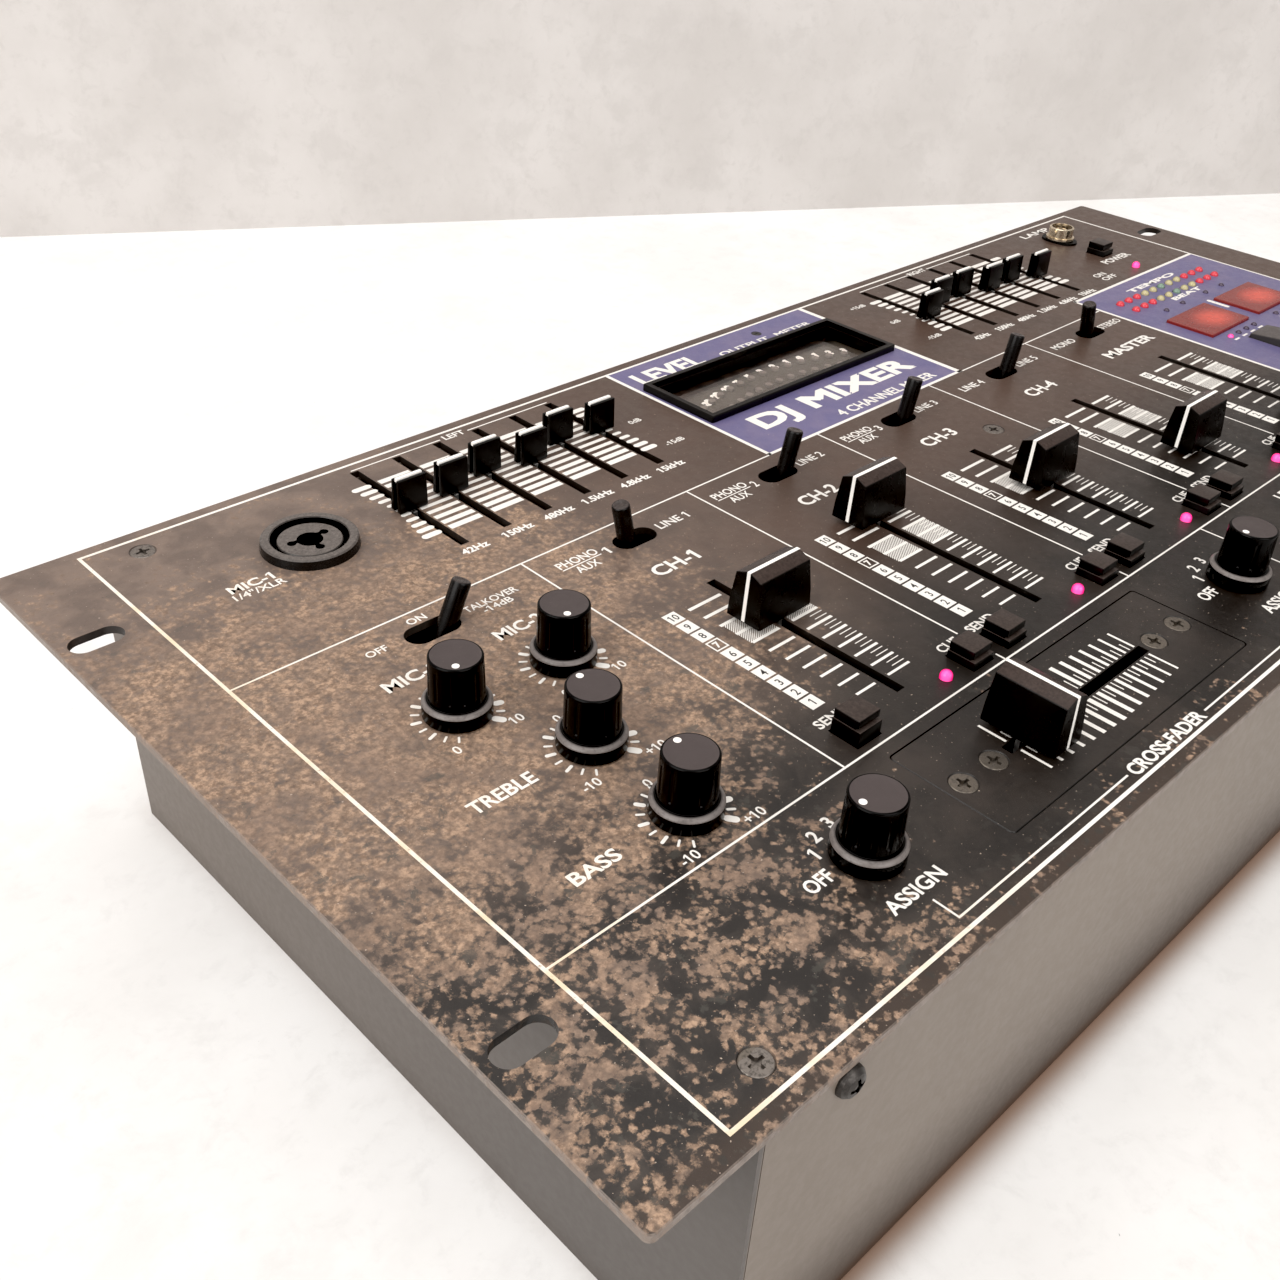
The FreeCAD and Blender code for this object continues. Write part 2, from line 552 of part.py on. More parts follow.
# ---------------------------------------------------- bodies of the controls
def channel(x, y, size, slot, z0, z1):
    """block with an upward-open slot; size and slot are (x, y) lengths"""
    block = box(*rect_at(x, y, *size), z0, z1)
    return block.cut(box(*rect_at(x, y, *slot), z0 + 1.2, z1 + 1))


def crossfader_bracket(x0, x1, screw_holes):
    """strip that the outer screws of the crossfader plate pull against"""
    strip = box(x0, x1, 6.6, 48.6, -4.0, BODY_TOP)
    plate_x0, plate_x1, plate_y0, plate_y1 = inset(XF_PLATE, 0.2)
    pad = box(max(x0, plate_x0), min(x1, plate_x1), plate_y0, plate_y1,
              -2.2, -XF_PLATE_T - 0.05)
    return strip.fuse(pad).removeSplitter().cut(screw_holes)


def knob_body(x, y):
    bush = cyl(x, y, -13.0, -0.2, BUSH_R).cut(cyl(x, y, -14, 1, BUSH_BORE_R))
    nut = cyl(x, y, -PANEL_T - 2.5, BODY_TOP, 5.2).cut(cyl(x, y, -8, 0, BUSH_R))
    can = cyl(x, y, -22.0, -12.99, 8.0).cut(cyl(x, y, -14.2, -12, SHAFT_R + 0.3))
    return bush.fuse([can, nut]).removeSplitter()


def toggle_body(x, kind):
    y, pivot_z = TOGGLE_Y, kind["pivot_z"]
    block = box(*rect_at(x, y, 18.0, 13.0), pivot_z - 5.5, BODY_TOP)
    pocket = box(*rect_at(x, y, kind["pocket"], 5.4), pivot_z - 4.0, 1)
    half = PIN_HALF + 0.2
    return block.cut([pocket, y_cyl(x, y - half, pivot_z, 2 * half, PIN_R + 0.05)])


def switch_body(x, y):
    block = box(*rect_at(x, y, 9.0, 9.0), PCB_Z, -9.6)
    return block.cut(box(*rect_at(x, y, 3.5, 3.5), PCB_Z + 7, -9))


def control_bodies():
    bodies = [channel(x, EQ_BODY_Y, (9.0, 43.0), (2.2, 41.0), -9.0, BODY_TOP)
              for x, y in EQ_SLIDERS.values()]
    bodies += [channel(x, sum(FADER_TRAVEL) / 2, (14.0, 64.0), (2.2, 60.0), -12.0, BODY_TOP)
               for x in FADER_X]
    screw_holes = [cyl(x, y, -8, 0, 1.6) for x, y in XF_SCREWS]
    crossfader = channel(sum(XF_SLOT) / 2, XF_Y, (80.0, 14.0), (58.0, 2.2),
                         -12.0, -XF_PLATE_T - 0.05)
    bodies.append(crossfader.cut(screw_holes))
    bodies += [crossfader_bracket(x0, x1, screw_holes) for x0, x1 in XF_BRACKETS]
    bodies += [knob_body(x, y) for x, y, angle in KNOBS.values()]
    bodies += [toggle_body(x, kind) for x, lean, kind in TOGGLES.values()]
    bodies += [switch_body(x, y) for x, y, top in BUTTONS.values()]
    bodies += [switch_body(x, y) for x, y in TAPS.values()]
    # threaded spacer under the middle panel screw, standing on the board
    x, y = PANEL_SCREWS[-1]
    bodies.append(cyl(x, y, PCB_Z, BODY_TOP, 2.9).cut(cyl(x, y, -12, 0, 1.6)))
    return bodies


# ---------------------------------------------------------- inside and rear
def power_supply():
    """transformer core with a window, and the bobbin through it"""
    floor_z = BOTTOM_Z + SHEET
    core = box(372.0, 436.0, 60.0, 112.0, floor_z, floor_z + 36.0)
    core = core.cut(box(382.0, 426.0, 59.0, 113.0, floor_z + 8.0, floor_z + 28.0))
    bobbin = round_box(382.2, 425.8, 50.0, 122.0, floor_z + 8.2, floor_z + 27.8, 3.0)
    return [core, bobbin]


def rca_jack(x, z):
    barrel = y_cyl(x, CASE_Y1 - SHEET - 10.0, z, 12.0, 4.2)
    flange = y_cyl(x, CASE_Y1, z, 2.0, 5.5)
    nozzle = y_cyl(x, CASE_Y1, z, 9.0, 4.0)
    jack = barrel.fuse([flange, nozzle]).removeSplitter()
    return jack.cut(y_cyl(x, CASE_Y1 + 2.0, z, 8.0, 1.7))


def mains_inlet():
    (x0, x1), (z0, z1), wall = INLET_X, INLET_Z, CASE_Y1
    inlet = box(x0 + 0.2, x1 - 0.2, wall - 20, wall + 0.1, z0 + 0.2, z1 - 0.2)
    flange = box(x0 - 9, x1 + 9, wall + 0.05, wall + 2.2, z0 - 2, z1 + 2)
    inlet = inlet.fuse(flange).removeSplitter()
    inlet = inlet.cut(box(x0 + 2.0, x1 - 2.0, wall - 13, wall + 5, z0 + 3.0, z1 - 3.0))
    pins = []
    for i in range(3):
        pin_x = x0 + 6.5 + 6.8 * i
        pins.append(box(pin_x, pin_x + 2.0, wall - 13.5, wall - 1.5, -43.0, -39.0))
    return inlet.fuse(pins).removeSplitter()


# -------------------------------------------------------------- build and save
save("top_panel", top_panel())
save("chassis_tray", chassis_tray())
save("side_plates", [side_plate(CASE_X0, 1, CASE_SCREW_X[0]),
                     side_plate(CASE_X1, -1, CASE_SCREW_X[1])])
save("crossfader_plate", crossfader_plate())
save("panel_screws", panel_screws())
save("case_screws", [case_screw(x, y, angle) for x in CASE_SCREW_X
                     for y, angle in ((CASE_Y0, 90), (CASE_Y1, -90))])
save("mic_combo_jack", mic_combo_jack())
save("headphone_jack", headphone_jack())
save("meter_bezel", meter_bezel())
save("meter_window", [box(*inset(METER, 2.8), -3.2, -1.7)])
save("meter_board", meter_board())
save("tempo_display_lenses", [display_lens(rect) for rect in DISPLAYS])
save("indicator_leds", [led(x, y, radius, top) for places, radius, top in LED_GROUPS
                        for x, y in places])
save("lamp_socket", lamp_socket())
for name, place in KNOBS.items():
    save(name, knob(*place))
for name, x, y in zip(FADER_NAMES, FADER_X, FADER_REST_Y):
    save(name, fader(x, y, "y"))
save("crossfader", fader(XF_REST_X, XF_Y, "x"))
for name, place in EQ_SLIDERS.items():
    save(name, eq_slider(*place))
for name, setting in TOGGLES.items():
    save(name, toggle(*setting))
for name, place in BUTTONS.items():
    save(name, button(*place))
for name, place in TAPS.items():
    save(name, tap_button(*place))
save("control_bodies", control_bodies())
save("main_pcb", [box(40.0, 445.0, 18.0, 200.0, PCB_Z - PCB_T, PCB_Z)])
save("power_supply", power_supply())
save("rear_connectors", [rca_jack(x, z) for x, z in RCA_JACKS] + [mains_inlet()])
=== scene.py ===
# A four channel DJ mixer lying flat on a floor, controls upward: X runs right, Y to the back, Z up.
# Places are given in layout millimetres: x and y from the front left corner of the top panel,
# z from the panel's top face. P() turns them into the frame's metres.
import bpy
import bmesh
import math
from functools import cache, cached_property
from mathutils import Matrix, Vector


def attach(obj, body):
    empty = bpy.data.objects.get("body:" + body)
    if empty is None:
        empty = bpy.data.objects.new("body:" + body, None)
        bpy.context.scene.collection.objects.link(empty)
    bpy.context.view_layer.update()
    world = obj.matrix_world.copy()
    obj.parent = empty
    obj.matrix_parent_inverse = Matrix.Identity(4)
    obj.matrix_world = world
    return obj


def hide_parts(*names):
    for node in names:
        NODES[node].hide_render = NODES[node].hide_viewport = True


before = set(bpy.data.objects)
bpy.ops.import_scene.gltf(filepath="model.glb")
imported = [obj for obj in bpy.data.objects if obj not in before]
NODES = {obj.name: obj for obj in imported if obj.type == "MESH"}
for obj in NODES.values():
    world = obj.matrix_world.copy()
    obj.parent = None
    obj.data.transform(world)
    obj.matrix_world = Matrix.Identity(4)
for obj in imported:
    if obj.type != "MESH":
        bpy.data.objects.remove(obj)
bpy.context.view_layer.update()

ROOT = "housing"
TAU = 2 * math.pi

# ------------------------------------------------------------------ driving dimensions, mm
ORIGIN_X, ORIGIN_Y = 241.3, 107.5     # the frame's origin in the layout
PANEL_TOP = 81.2                      # height of the panel's top face in the frame
FLOOR_Z = -81.28

CHANNELS = 4
FADER_PITCH = 55.3
FADER_X = [130.8 + FADER_PITCH * i for i in range(CHANNELS + 1)]    # the last is the master
FADER_REST = (94.2, 108.0, 89.7, 73.4, 62.0)
SEND_PITCH = 55.15
BUTTON_Y = 52.5
TOGGLE_Y = 139.6

EQ_PITCH = 13.8
EQ_LEFT, EQ_RIGHT = 96.2, 317.3       # x of the first slider in each bank
EQ_REST = {
    "left": (EQ_LEFT, (187.9, 188.5, 191.7, 188.4, 193.1, 190.7)),
    "right": (EQ_RIGHT, (183.8, 189.6, 190.0, 186.4, 186.9, 183.3)),
}

# name: x, y, pointer angle in degrees
KNOBS = {
    "mic1_level_knob": (52.6, 111.4, 233.0),
    "mic2_level_knob": (81.9, 111.4, 238.0),
    "treble_knob": (66.9, 85.6, 90.0),
    "bass_knob": (66.8, 58.5, 84.0),
    "assign_left_knob": (84.1, 27.9, 174.0),
    "assign_right_knob": (234.2, 27.9, 176.0),
    "phones_level_knob": (292.0, 27.9, 233.0),
}

# blue painted fields: x0, x1, y0, y1
METER_FIELD = (193.0, 286.2, 149.0, 217.3)
TEMPO_FIELD = (374.0, 461.6, 70.5, 158.6)


def P(x, y, z=0.0):
    """layout millimetres to the frame in metres"""
    return Vector(((x - ORIGIN_X) / 1000, (y - ORIGIN_Y) / 1000, (z + PANEL_TOP) / 1000))


# ------------------------------------------------------------------ shader tools
def feed(socket, value):
    """link a Value to an input, or set the input to a constant"""
    if isinstance(value, Value):
        socket.id_data.links.new(value.socket, socket)
    else:
        if socket.type == "RGBA" and len(value) == 3:
            value = (*value, 1.0)
        socket.default_value = value


def add_node(tree, kind, inputs, output=0, **settings):
    node = tree.nodes.new(kind)
    for name, value in settings.items():
        setattr(node, name, value)
    for key, value in inputs.items():
        feed(node.inputs[key], value)
    return Value(node.outputs[output])


class Value:
    """A shader output that takes part in arithmetic; each operation adds a node."""

    def __init__(self, socket):
        self.socket = socket

    def add(self, kind, inputs, output=0, **settings):
        return add_node(self.socket.id_data, kind, inputs, output, **settings)

    def calc(self, operation, *inputs):
        return self.add("ShaderNodeMath", dict(enumerate(inputs)), operation=operation)

    def __add__(self, other):
        return self.calc("ADD", self, other)

    def __sub__(self, other):
        return self.calc("SUBTRACT", self, other)

    def __rsub__(self, other):
        return self.calc("SUBTRACT", other, self)

    def __mul__(self, other):
        return self.calc("MULTIPLY", self, other)

    def __truediv__(self, other):
        return self.calc("DIVIDE", self, other)

    def __pow__(self, other):
        return self.calc("POWER", self, other)

    def __lt__(self, other):
        return self.calc("LESS_THAN", self, other)

    def __gt__(self, other):
        return self.calc("GREATER_THAN", self, other)

    def max(self, other):
        return self.calc("MAXIMUM", self, other)

    def scale_add(self, factor, addend):
        return self.calc("MULTIPLY_ADD", self, factor, addend)

    def remap(self, source, target):
        """smooth step from the source range to the target range"""
        inputs = {"Value": self, "From Min": source[0], "From Max": source[1],
                  "To Min": target[0], "To Max": target[1]}
        return self.add("ShaderNodeMapRange", inputs, interpolation_type="SMOOTHSTEP")

    def rise(self, start, end, peak=1.0):
        return self.remap((start, end), (0.0, peak))

    def fall(self, start, end, peak=1.0):
        return self.remap((start, end), (peak, 0.0))

    def mix(self, first, second):
        """blend two colours, with this value as the factor"""
        return self.add("ShaderNodeMix", {0: self, 6: first, 7: second}, 2, data_type="RGBA")

    def lerp(self, first, second):
        """blend two numbers, with this value as the factor"""
        return self.add("ShaderNodeMix", {0: self, 2: first, 3: second}, data_type="FLOAT")


class Shader:
    """A principled material; textures and coordinates are in millimetres."""

    INPUTS = {"color": "Base Color", "rough": "Roughness", "metal": "Metallic",
              "spec": "Specular IOR Level", "trans": "Transmission Weight", "ior": "IOR",
              "emit": "Emission Color", "glow": "Emission Strength"}

    def __init__(self, name):
        self.material = bpy.data.materials.new(name)
        self.material.use_nodes = True
        self.tree = self.material.node_tree
        self.tree.nodes.clear()
        output = self.tree.nodes.new("ShaderNodeOutputMaterial")
        self.surface = self.tree.nodes.new("ShaderNodeBsdfPrincipled")
        self.tree.links.new(self.surface.outputs[0], output.inputs[0])

    def add(self, kind, inputs, output=0, **settings):
        return add_node(self.tree, kind, inputs, output, **settings)

    @cached_property
    def position(self):
        metres = self.add("ShaderNodeTexCoord", {}, "Object")
        return self.add("ShaderNodeVectorMath", {0: metres, "Scale": 1000.0}, operation="SCALE")

    @cached_property
    def axes(self):
        separate = self.add("ShaderNodeSeparateXYZ", {0: self.position}).socket.node
        return [Value(socket) for socket in separate.outputs]

    @cached_property
    def x(self):
        return self.axes[0] + ORIGIN_X

    @cached_property
    def y(self):
        return self.axes[1] + ORIGIN_Y

    @cached_property
    def z(self):
        return self.axes[2] - PANEL_TOP

    def noise(self, scale, detail=3.0, rough=0.5, warp=0.0, offset=None):
        where = self.position
        if offset is not None:
            where = self.add("ShaderNodeVectorMath", {0: where, 1: offset}, operation="ADD")
        return self.add("ShaderNodeTexNoise", {
            "Vector": where, "Scale": scale, "Detail": detail, "Roughness": rough,
            "Distortion": warp})

    def voronoi(self, scale):
        inputs = {"Vector": self.position, "Scale": scale}
        return self.add("ShaderNodeTexVoronoi", inputs, "Distance")

    def normal_z(self):
        normal = self.add("ShaderNodeNewGeometry", {}, "Normal")
        return self.add("ShaderNodeSeparateXYZ", {0: normal}, 2)

    def facing(self, blend):
        return self.add("ShaderNodeLayerWeight", {"Blend": blend}, "Facing")

    def inside(self, x0, x1, y0, y1, soft=0.06):
        """1 within a rectangle, 0 outside"""
        across = self.x.rise(x0 - soft, x0 + soft) * self.x.fall(x1 - soft, x1 + soft)
        return across * (self.y.rise(y0 - soft, y0 + soft) * self.y.fall(y1 - soft, y1 + soft))

    def bump(self, height, strength, depth):
        """depth in millimetres"""
        inputs = {"Strength": strength, "Distance": depth / 1000, "Height": height}
        feed(self.surface.inputs["Normal"], self.add("ShaderNodeBump", inputs))

    def finish(self, **values):
        for name, value in values.items():
            feed(self.surface.inputs[self.INPUTS[name]], value)
        return self.material


def scaled(color, factor):
    return tuple(c * factor for c in color)


# ------------------------------------------------------------------ materials
def panel_paint(name, patina=1.0):
    """black paint under a patchy brown bloom; patina scales the bloom"""
    mat = Shader(name)
    x, y = mat.x, mat.y
    drift = mat.noise(0.020, offset=(11.0, 3.0, 0.0))
    mid = mat.noise(0.105, detail=5, rough=0.60, warp=0.4, offset=(5.0, 71.0, 0.0))
    fine = mat.noise(0.62, detail=7, rough=0.68, warp=0.2)
    clump = mat.noise(0.34, detail=6, rough=0.64, warp=0.5, offset=(7.0, 2.0, 0.0))
    flake = mat.voronoi(0.56).scale_add(-0.95, 0.93)

    # the bloom is dense over the left quarter, patchy in front, weak at the back left corner
    drifted_x = (drift - 0.5).scale_add(-70.0, x) + y.fall(40.0, 95.0, 36.0)
    bloom = drifted_x.fall(94.0, 170.0)
    bloom = bloom * y.remap((160.0, 206.0), (1.0, 0.34))
    bloom = bloom * y.remap((34.0, 112.0), (0.62, 0.94))
    # a faint blotch by the left half of the crossfader, and sparse flecks along the front edge
    blotch = (((x - 150.0) / 22.0) ** 2.0 + ((y - 36.0) / 15.0) ** 2.0) ** 0.5
    bloom = bloom.max(blotch.fall(0.25, 1.15, 0.56))
    bloom = bloom.max(y.fall(4.0, 30.0, 0.36)) * patina
    pattern = flake.scale_add(0.14, mid * 0.36 + (fine * 0.24 + clump * 0.26))
    # crisp clumps towards the front edge, a soft bloom further back
    threshold = bloom.scale_add(-0.235, 0.640)
    soft = y.remap((30.0, 100.0), (0.034, 0.085))
    mask = pattern.rise(threshold - soft * 0.5, threshold + soft)

    # colour of the bloom
    tone = mat.noise(0.85, detail=7, rough=0.68, warp=0.1, offset=(31.0, 9.0, 4.0))
    tan = tone.rise(0.36, 0.64).mix((0.165, 0.106, 0.072), (0.400, 0.268, 0.182))
    wide_tone = mat.noise(0.06, rough=0.55, offset=(1.0, 9.0, 4.0))
    tan = (wide_tone.rise(0.42, 0.62) * 0.62).mix(tan, (0.190, 0.130, 0.098))
    dark_tone = mat.noise(0.13, detail=5, rough=0.62, warp=0.6, offset=(51.0, 19.0, 4.0))
    tan = (dark_tone.rise(0.50, 0.66) * 0.50).mix(tan, (0.125, 0.095, 0.080))
    grain = mat.noise(1.3, rough=0.6, offset=(5.0, 5.0, 1.0)) - 0.5
    grain = grain.scale_add(0.9, mat.voronoi(0.60))
    tan = grain.rise(0.30, 0.85, 0.52).mix(tan, (0.085, 0.062, 0.050))

    # under the bloom: near black paint at the front, lighter and browner towards the back; this is
    # partly a brown cast of the paint and partly a painted sheen, the backdrop's reflection at the
    # grazing view
    paint = y.rise(62.0, 128.0).mix((0.0080, 0.0056, 0.0042), (0.070, 0.042, 0.031))
    cast = mat.noise(0.035, detail=4, rough=0.6, warp=0.2, offset=(2.0, 17.0, 0.0))
    paint = cast.rise(0.40, 0.66, 0.35).mix(paint, (0.050, 0.036, 0.029))
    front_haze = mid.rise(0.36, 0.62).mix((0.016, 0.0135, 0.0125), (0.050, 0.040, 0.034))
    # the back haze is partly a painted sheen
    back_haze_and_sheen = mid.rise(0.36, 0.62).mix((0.122, 0.090, 0.074), (0.180, 0.132, 0.106))
    haze = y.rise(46.0, 96.0).mix(front_haze, back_haze_and_sheen)
    paint = (drifted_x.fall(75.0, 190.0) * 0.85).mix(paint, haze)
    paint = y.fall(2.0, 8.0, 0.70).mix(paint, (0.046, 0.030, 0.022))
    # dark grey green clusters in the bloom
    cluster = mat.noise(0.17, detail=6, rough=0.68, warp=0.4, offset=(40.0, 12.0, 0.0))
    cluster = cluster.rise(0.585, 0.640, 0.80) * y.remap((70.0, 150.0), (1.0, 0.55))
    mask = mask * (1.0 - cluster)
    paint = (cluster * bloom).mix(paint, (0.060, 0.056, 0.048))
    blue = mat.inside(*METER_FIELD).max(mat.inside(*TEMPO_FIELD))
    blue_paint = mid.rise(0.35, 0.7).mix((0.110, 0.098, 0.205), (0.140, 0.118, 0.215))
    paint = blue.mix(paint, blue_paint)
    mask = mask * (1.0 - blue * 0.9)
    color = mask.mix(paint, tan)

    # round dark pits along the front edge, and fine dark and pale specks everywhere
    pits = mat.voronoi(0.30).fall(0.20, 0.34)
    pits = pits * (y.fall(6.0, 16.0, 0.85) * clump.rise(0.42, 0.52))
    color = (pits * patina).mix(color, (0.030, 0.025, 0.021))
    specks = mat.noise(1.5, rough=0.6, offset=(13.0, 24.0, 0.0))
    color = (specks.rise(0.665, 0.715) * 0.55).mix(color, (0.030, 0.024, 0.020))
    dots = mat.noise(1.6, detail=2, offset=(3.0, 44.0, 0.0))
    color = (dots.rise(0.715, 0.750) * 0.80).mix(color, (0.46, 0.37, 0.30))
    # cut edges: lighter round the outline, partly rubbed bare and partly a painted highlight; near
    # black inside the openings as painted shade
    side = mat.normal_z().fall(0.55, 0.93)
    outline = (x < 0.8).max(y < 0.8).max((x > 481.8).max(y > 220.7))
    edge = side * outline
    color = ((side - edge) * 0.9).mix(color, (0.006, 0.005, 0.0045))
    wear_and_highlight = mat.noise(0.5, detail=5, rough=0.7).remap((0.3, 0.6), (0.45, 1.0))
    color = (edge * wear_and_highlight).mix(color, (0.20, 0.160, 0.135))

    polish = mat.noise(0.4, detail=5, rough=0.6).remap((0.3, 0.7), (0.34, 0.46))
    height = mask * 0.7 + mat.noise(2.2, detail=4, rough=0.65) * 0.8
    mat.bump(height + tone * 0.8, strength=0.45, depth=0.10)
    return mat.finish(color=color, rough=mask.lerp(polish, 0.62), spec=0.37)


def case_paint(name):
    mat = Shader(name)
    color = mat.noise(0.012).rise(0.35, 0.65).mix((0.172, 0.141, 0.116), (0.196, 0.162, 0.134))
    # the front is painted darker towards its bottom edge as painted shade, with a ragged brown band
    # along the foot
    front = mat.z.fall(-85.0, -44.0).mix(color, (0.046, 0.032, 0.024))
    ragged_z = (mat.noise(0.08, detail=4, rough=0.6) - 0.5).scale_add(5.0, mat.z)
    foot = ragged_z.fall(-81.0, -74.0)
    front = (foot * 0.85).mix(front, (0.046, 0.020, 0.009))
    # the left side is painted darker and greyer than the front as painted shade, nearly even from
    # top to bottom
    side = mat.y.rise(20.0, 200.0).mix((0.090, 0.079, 0.072), (0.135, 0.112, 0.095))
    side = (foot * 0.30).mix(side, (0.055, 0.040, 0.032))
    color = mat.x.fall(24.6, 25.4).mix(front, side)
    scuff = mat.noise(0.09, detail=8, rough=0.72, warp=0.6).rise(0.66, 0.73, 0.20)
    color = scuff.mix(color, (0.075, 0.062, 0.053))
    mat.bump(mat.noise(0.7, detail=2), strength=0.02, depth=0.10)
    rough = mat.noise(0.5, detail=5, rough=0.6).remap((0.3, 0.7), (0.42, 0.50))
    return mat.finish(color=color, rough=rough, spec=0.30)


def plastic(name, color, rough, spread, spec, bump, dust, top=None, grain=2.64):
    """moulded plastic: dust settles on the upward faces, the sides stay clean; a given top colour
    paints a sheen on the upward faces
    """
    mat = Shader(name)
    up = mat.normal_z().rise(0.55, 0.95)
    dusty = mat.noise(1.1, detail=6, rough=0.7, warp=0.2, offset=(4.0, 8.0, 2.0))
    dusty = dusty.rise(0.60, 0.74, dust)
    # dust lightens each channel by a gain and a lift
    lightening = zip(color, (2.6, 2.5, 2.4), (0.045, 0.038, 0.034))
    dust_color = tuple(min(1, c * gain + lift) for c, gain, lift in lightening)
    shade = (dusty * up).mix(color, dust_color)
    # the upward faces take the lighter, mottled top colour: a painted sheen
    if top:
        mottle = mat.noise(1.3, detail=6, rough=0.7, offset=(14.0, 3.0, 6.0)).rise(0.35, 0.68)
        shade = up.mix(shade, mottle.mix(top, scaled(top, 1.7)))
    gloss = mat.noise(0.35, detail=5, rough=0.62)
    gloss = gloss.remap((0.3, 0.7), (rough - spread, rough + spread))
    mat.bump(mat.noise(grain, rough=0.6), strength=bump, depth=0.06)
    return mat.finish(color=shade, rough=gloss + dusty * 0.3, spec=spec)


def print_ink(name):
    """white print, yellowed and rusty over the left part of the panel"""
    mat = Shader(name)
    front_strip = mat.y.fall(3.0, 16.0, 0.7) * mat.x.fall(70.0, 125.0)
    aged = mat.x.fall(18.0, 60.0).max(front_strip)
    yellow = aged * mat.noise(0.12, detail=4, rough=0.6).remap((0.38, 0.62), (0.25, 1.0))
    color = yellow.mix((0.74, 0.71, 0.67), (0.68, 0.55, 0.39))
    rust = mat.noise(0.5, detail=6, rough=0.7, offset=(9.0, 1.0, 0.0)).rise(0.60, 0.70, 0.7)
    color = (aged * rust).mix(color, (0.22, 0.12, 0.05))
    chips = mat.noise(0.9, detail=5, rough=0.7, offset=(2.0, 6.0, 0.0)).rise(0.67, 0.73, 0.8)
    color = chips.mix(color, (0.10, 0.085, 0.075))
    return mat.finish(color=color, rough=0.55, spec=0.3)


def tarnish_mask(mat, amount):
    return mat.noise(0.9, detail=6, rough=0.7, warp=0.2).rise(0.45, 0.68, amount)


def metal(name, color, rough, tarnish, dark):
    mat = Shader(name)
    stain = tarnish_mask(mat, tarnish)
    mat.bump(mat.noise(2.5, detail=4, rough=0.6), strength=0.1, depth=0.05)
    return mat.finish(color=stain.mix(color, dark), metal=1.0 - stain * 0.6,
                      rough=stain.lerp(rough, 0.7))


def lit_lamp(name):
    mat = Shader(name)
    core, halo, strength = (1.0, 0.115, 0.36), (0.80, 0.008, 0.16), 1.35
    facing = mat.facing(blend=0.35)
    return mat.finish(color=halo, rough=0.25, emit=facing.rise(0.05, 0.55).mix(core, halo),
                      glow=facing.remap((0.0, 0.9), (strength, strength * 0.45)))


def lamp_plastic(name, color, glow):
    mat = Shader(name)
    shade = mat.facing(blend=0.4).rise(0.1, 0.8).mix(color, scaled(color, 0.35))
    mat.bump(mat.noise(2.0, detail=2), strength=0.05, depth=0.05)
    return mat.finish(color=shade, rough=mat.noise(1.0).remap((0.3, 0.7), (0.12, 0.24)),
                      spec=0.6, emit=color, glow=glow)


def lamp_socket(name):
    """bright turned ring on a dark insulating base"""
    mat = Shader(name)
    ring = mat.z.rise(1.15, 1.35)
    stain = tarnish_mask(mat, 0.45)
    ring_color = stain.mix((0.66, 0.56, 0.42), (0.14, 0.095, 0.055))
    mat.bump(mat.noise(2.5, detail=4, rough=0.6), strength=0.1, depth=0.05)
    return mat.finish(color=ring.mix((0.004, 0.0036, 0.0034), ring_color),
                      metal=ring * (1.0 - stain * 0.6),
                      rough=ring.lerp(0.45, stain.lerp(0.22, 0.6)), spec=ring.lerp(0.15, 0.5))


def knob_rim(name):
    """polished bevel of the knob skirt: pale along its outer edge as a painted highlight, dark and
    scuffed inwards
    """
    mat = Shader(name)
    # painted highlight on the steeper outer part of the bevel
    pale = mat.normal_z().fall(0.86, 0.97)
    color = pale.mix((0.050, 0.042, 0.040), (0.150, 0.130, 0.122))
    scuff = mat.noise(1.2, detail=6, rough=0.7, warp=0.3, offset=(3.0, 8.0, 1.0))
    color = (scuff.rise(0.48, 0.66) * 0.45).mix(color, (0.030, 0.025, 0.023))
    mat.bump(mat.noise(2.6, rough=0.6), strength=0.06, depth=0.05)
    return mat.finish(color=color, rough=pale.lerp(0.42, 0.30), spec=0.40)


def scale_print(name):
    """white scale print behind the pane, brightened a little by a painted glow"""
    mat = Shader(name)
    mottle = mat.noise(1.1, detail=4, rough=0.6).rise(0.35, 0.65)
    color = mottle.mix((0.95, 0.93, 0.90), (0.80, 0.77, 0.73))
    mat.bump(mat.noise(2.4, rough=0.6), strength=0.05, depth=0.05)
    return mat.finish(color=color, rough=0.5, spec=0.2, emit=color, glow=0.55)


def meter_board(name):
    """brown board, nearly black along its far edge as painted shade by the window's wall"""
    mat = Shader(name)
    blur = mat.noise(0.22, detail=6, rough=0.65, warp=0.3)
    # painted shade along the far edge of the board
    far_shade_mask = (blur - 0.5).scale_add(5.0, mat.x.scale_add(-0.012, mat.y)).rise(191.0, 193.6)
    mottle = mat.noise(0.9, detail=4, rough=0.6).rise(0.3, 0.7)
    near_color = mottle.mix((0.094, 0.076, 0.062), (0.135, 0.110, 0.090))
    far_shade_color = blur.rise(0.42, 0.60).mix((0.012, 0.008, 0.007), (0.060, 0.036, 0.027))
    # the unlit lamps stand a little above the board and read pale
    lamps = mat.z.rise(-4.36, -4.26)
    color = lamps.mix(far_shade_mask.mix(near_color, far_shade_color), (0.27, 0.225, 0.20))
    return mat.finish(color=color, rough=0.5, spec=0.2)


def smoked_window(name):
    mat = Shader(name)
    smoke = mat.noise(0.3, detail=4, rough=0.6).rise(0.4, 0.7)
    smoke = smoke.mix((0.93, 0.90, 0.87), (0.84, 0.80, 0.76))
    # the pane's cut edges are dark
    flat = mat.normal_z()
    flat = flat.calc("ABSOLUTE", flat, 0.0).rise(0.4, 0.8)
    haze = mat.noise(0.6, detail=5, rough=0.65).remap((0.50, 0.78), (0.01, 0.10))
    return mat.finish(color=flat.mix((0.004, 0.0035, 0.003), smoke), rough=haze, trans=flat,
                      ior=1.30, spec=flat.lerp(0.05, 0.5))


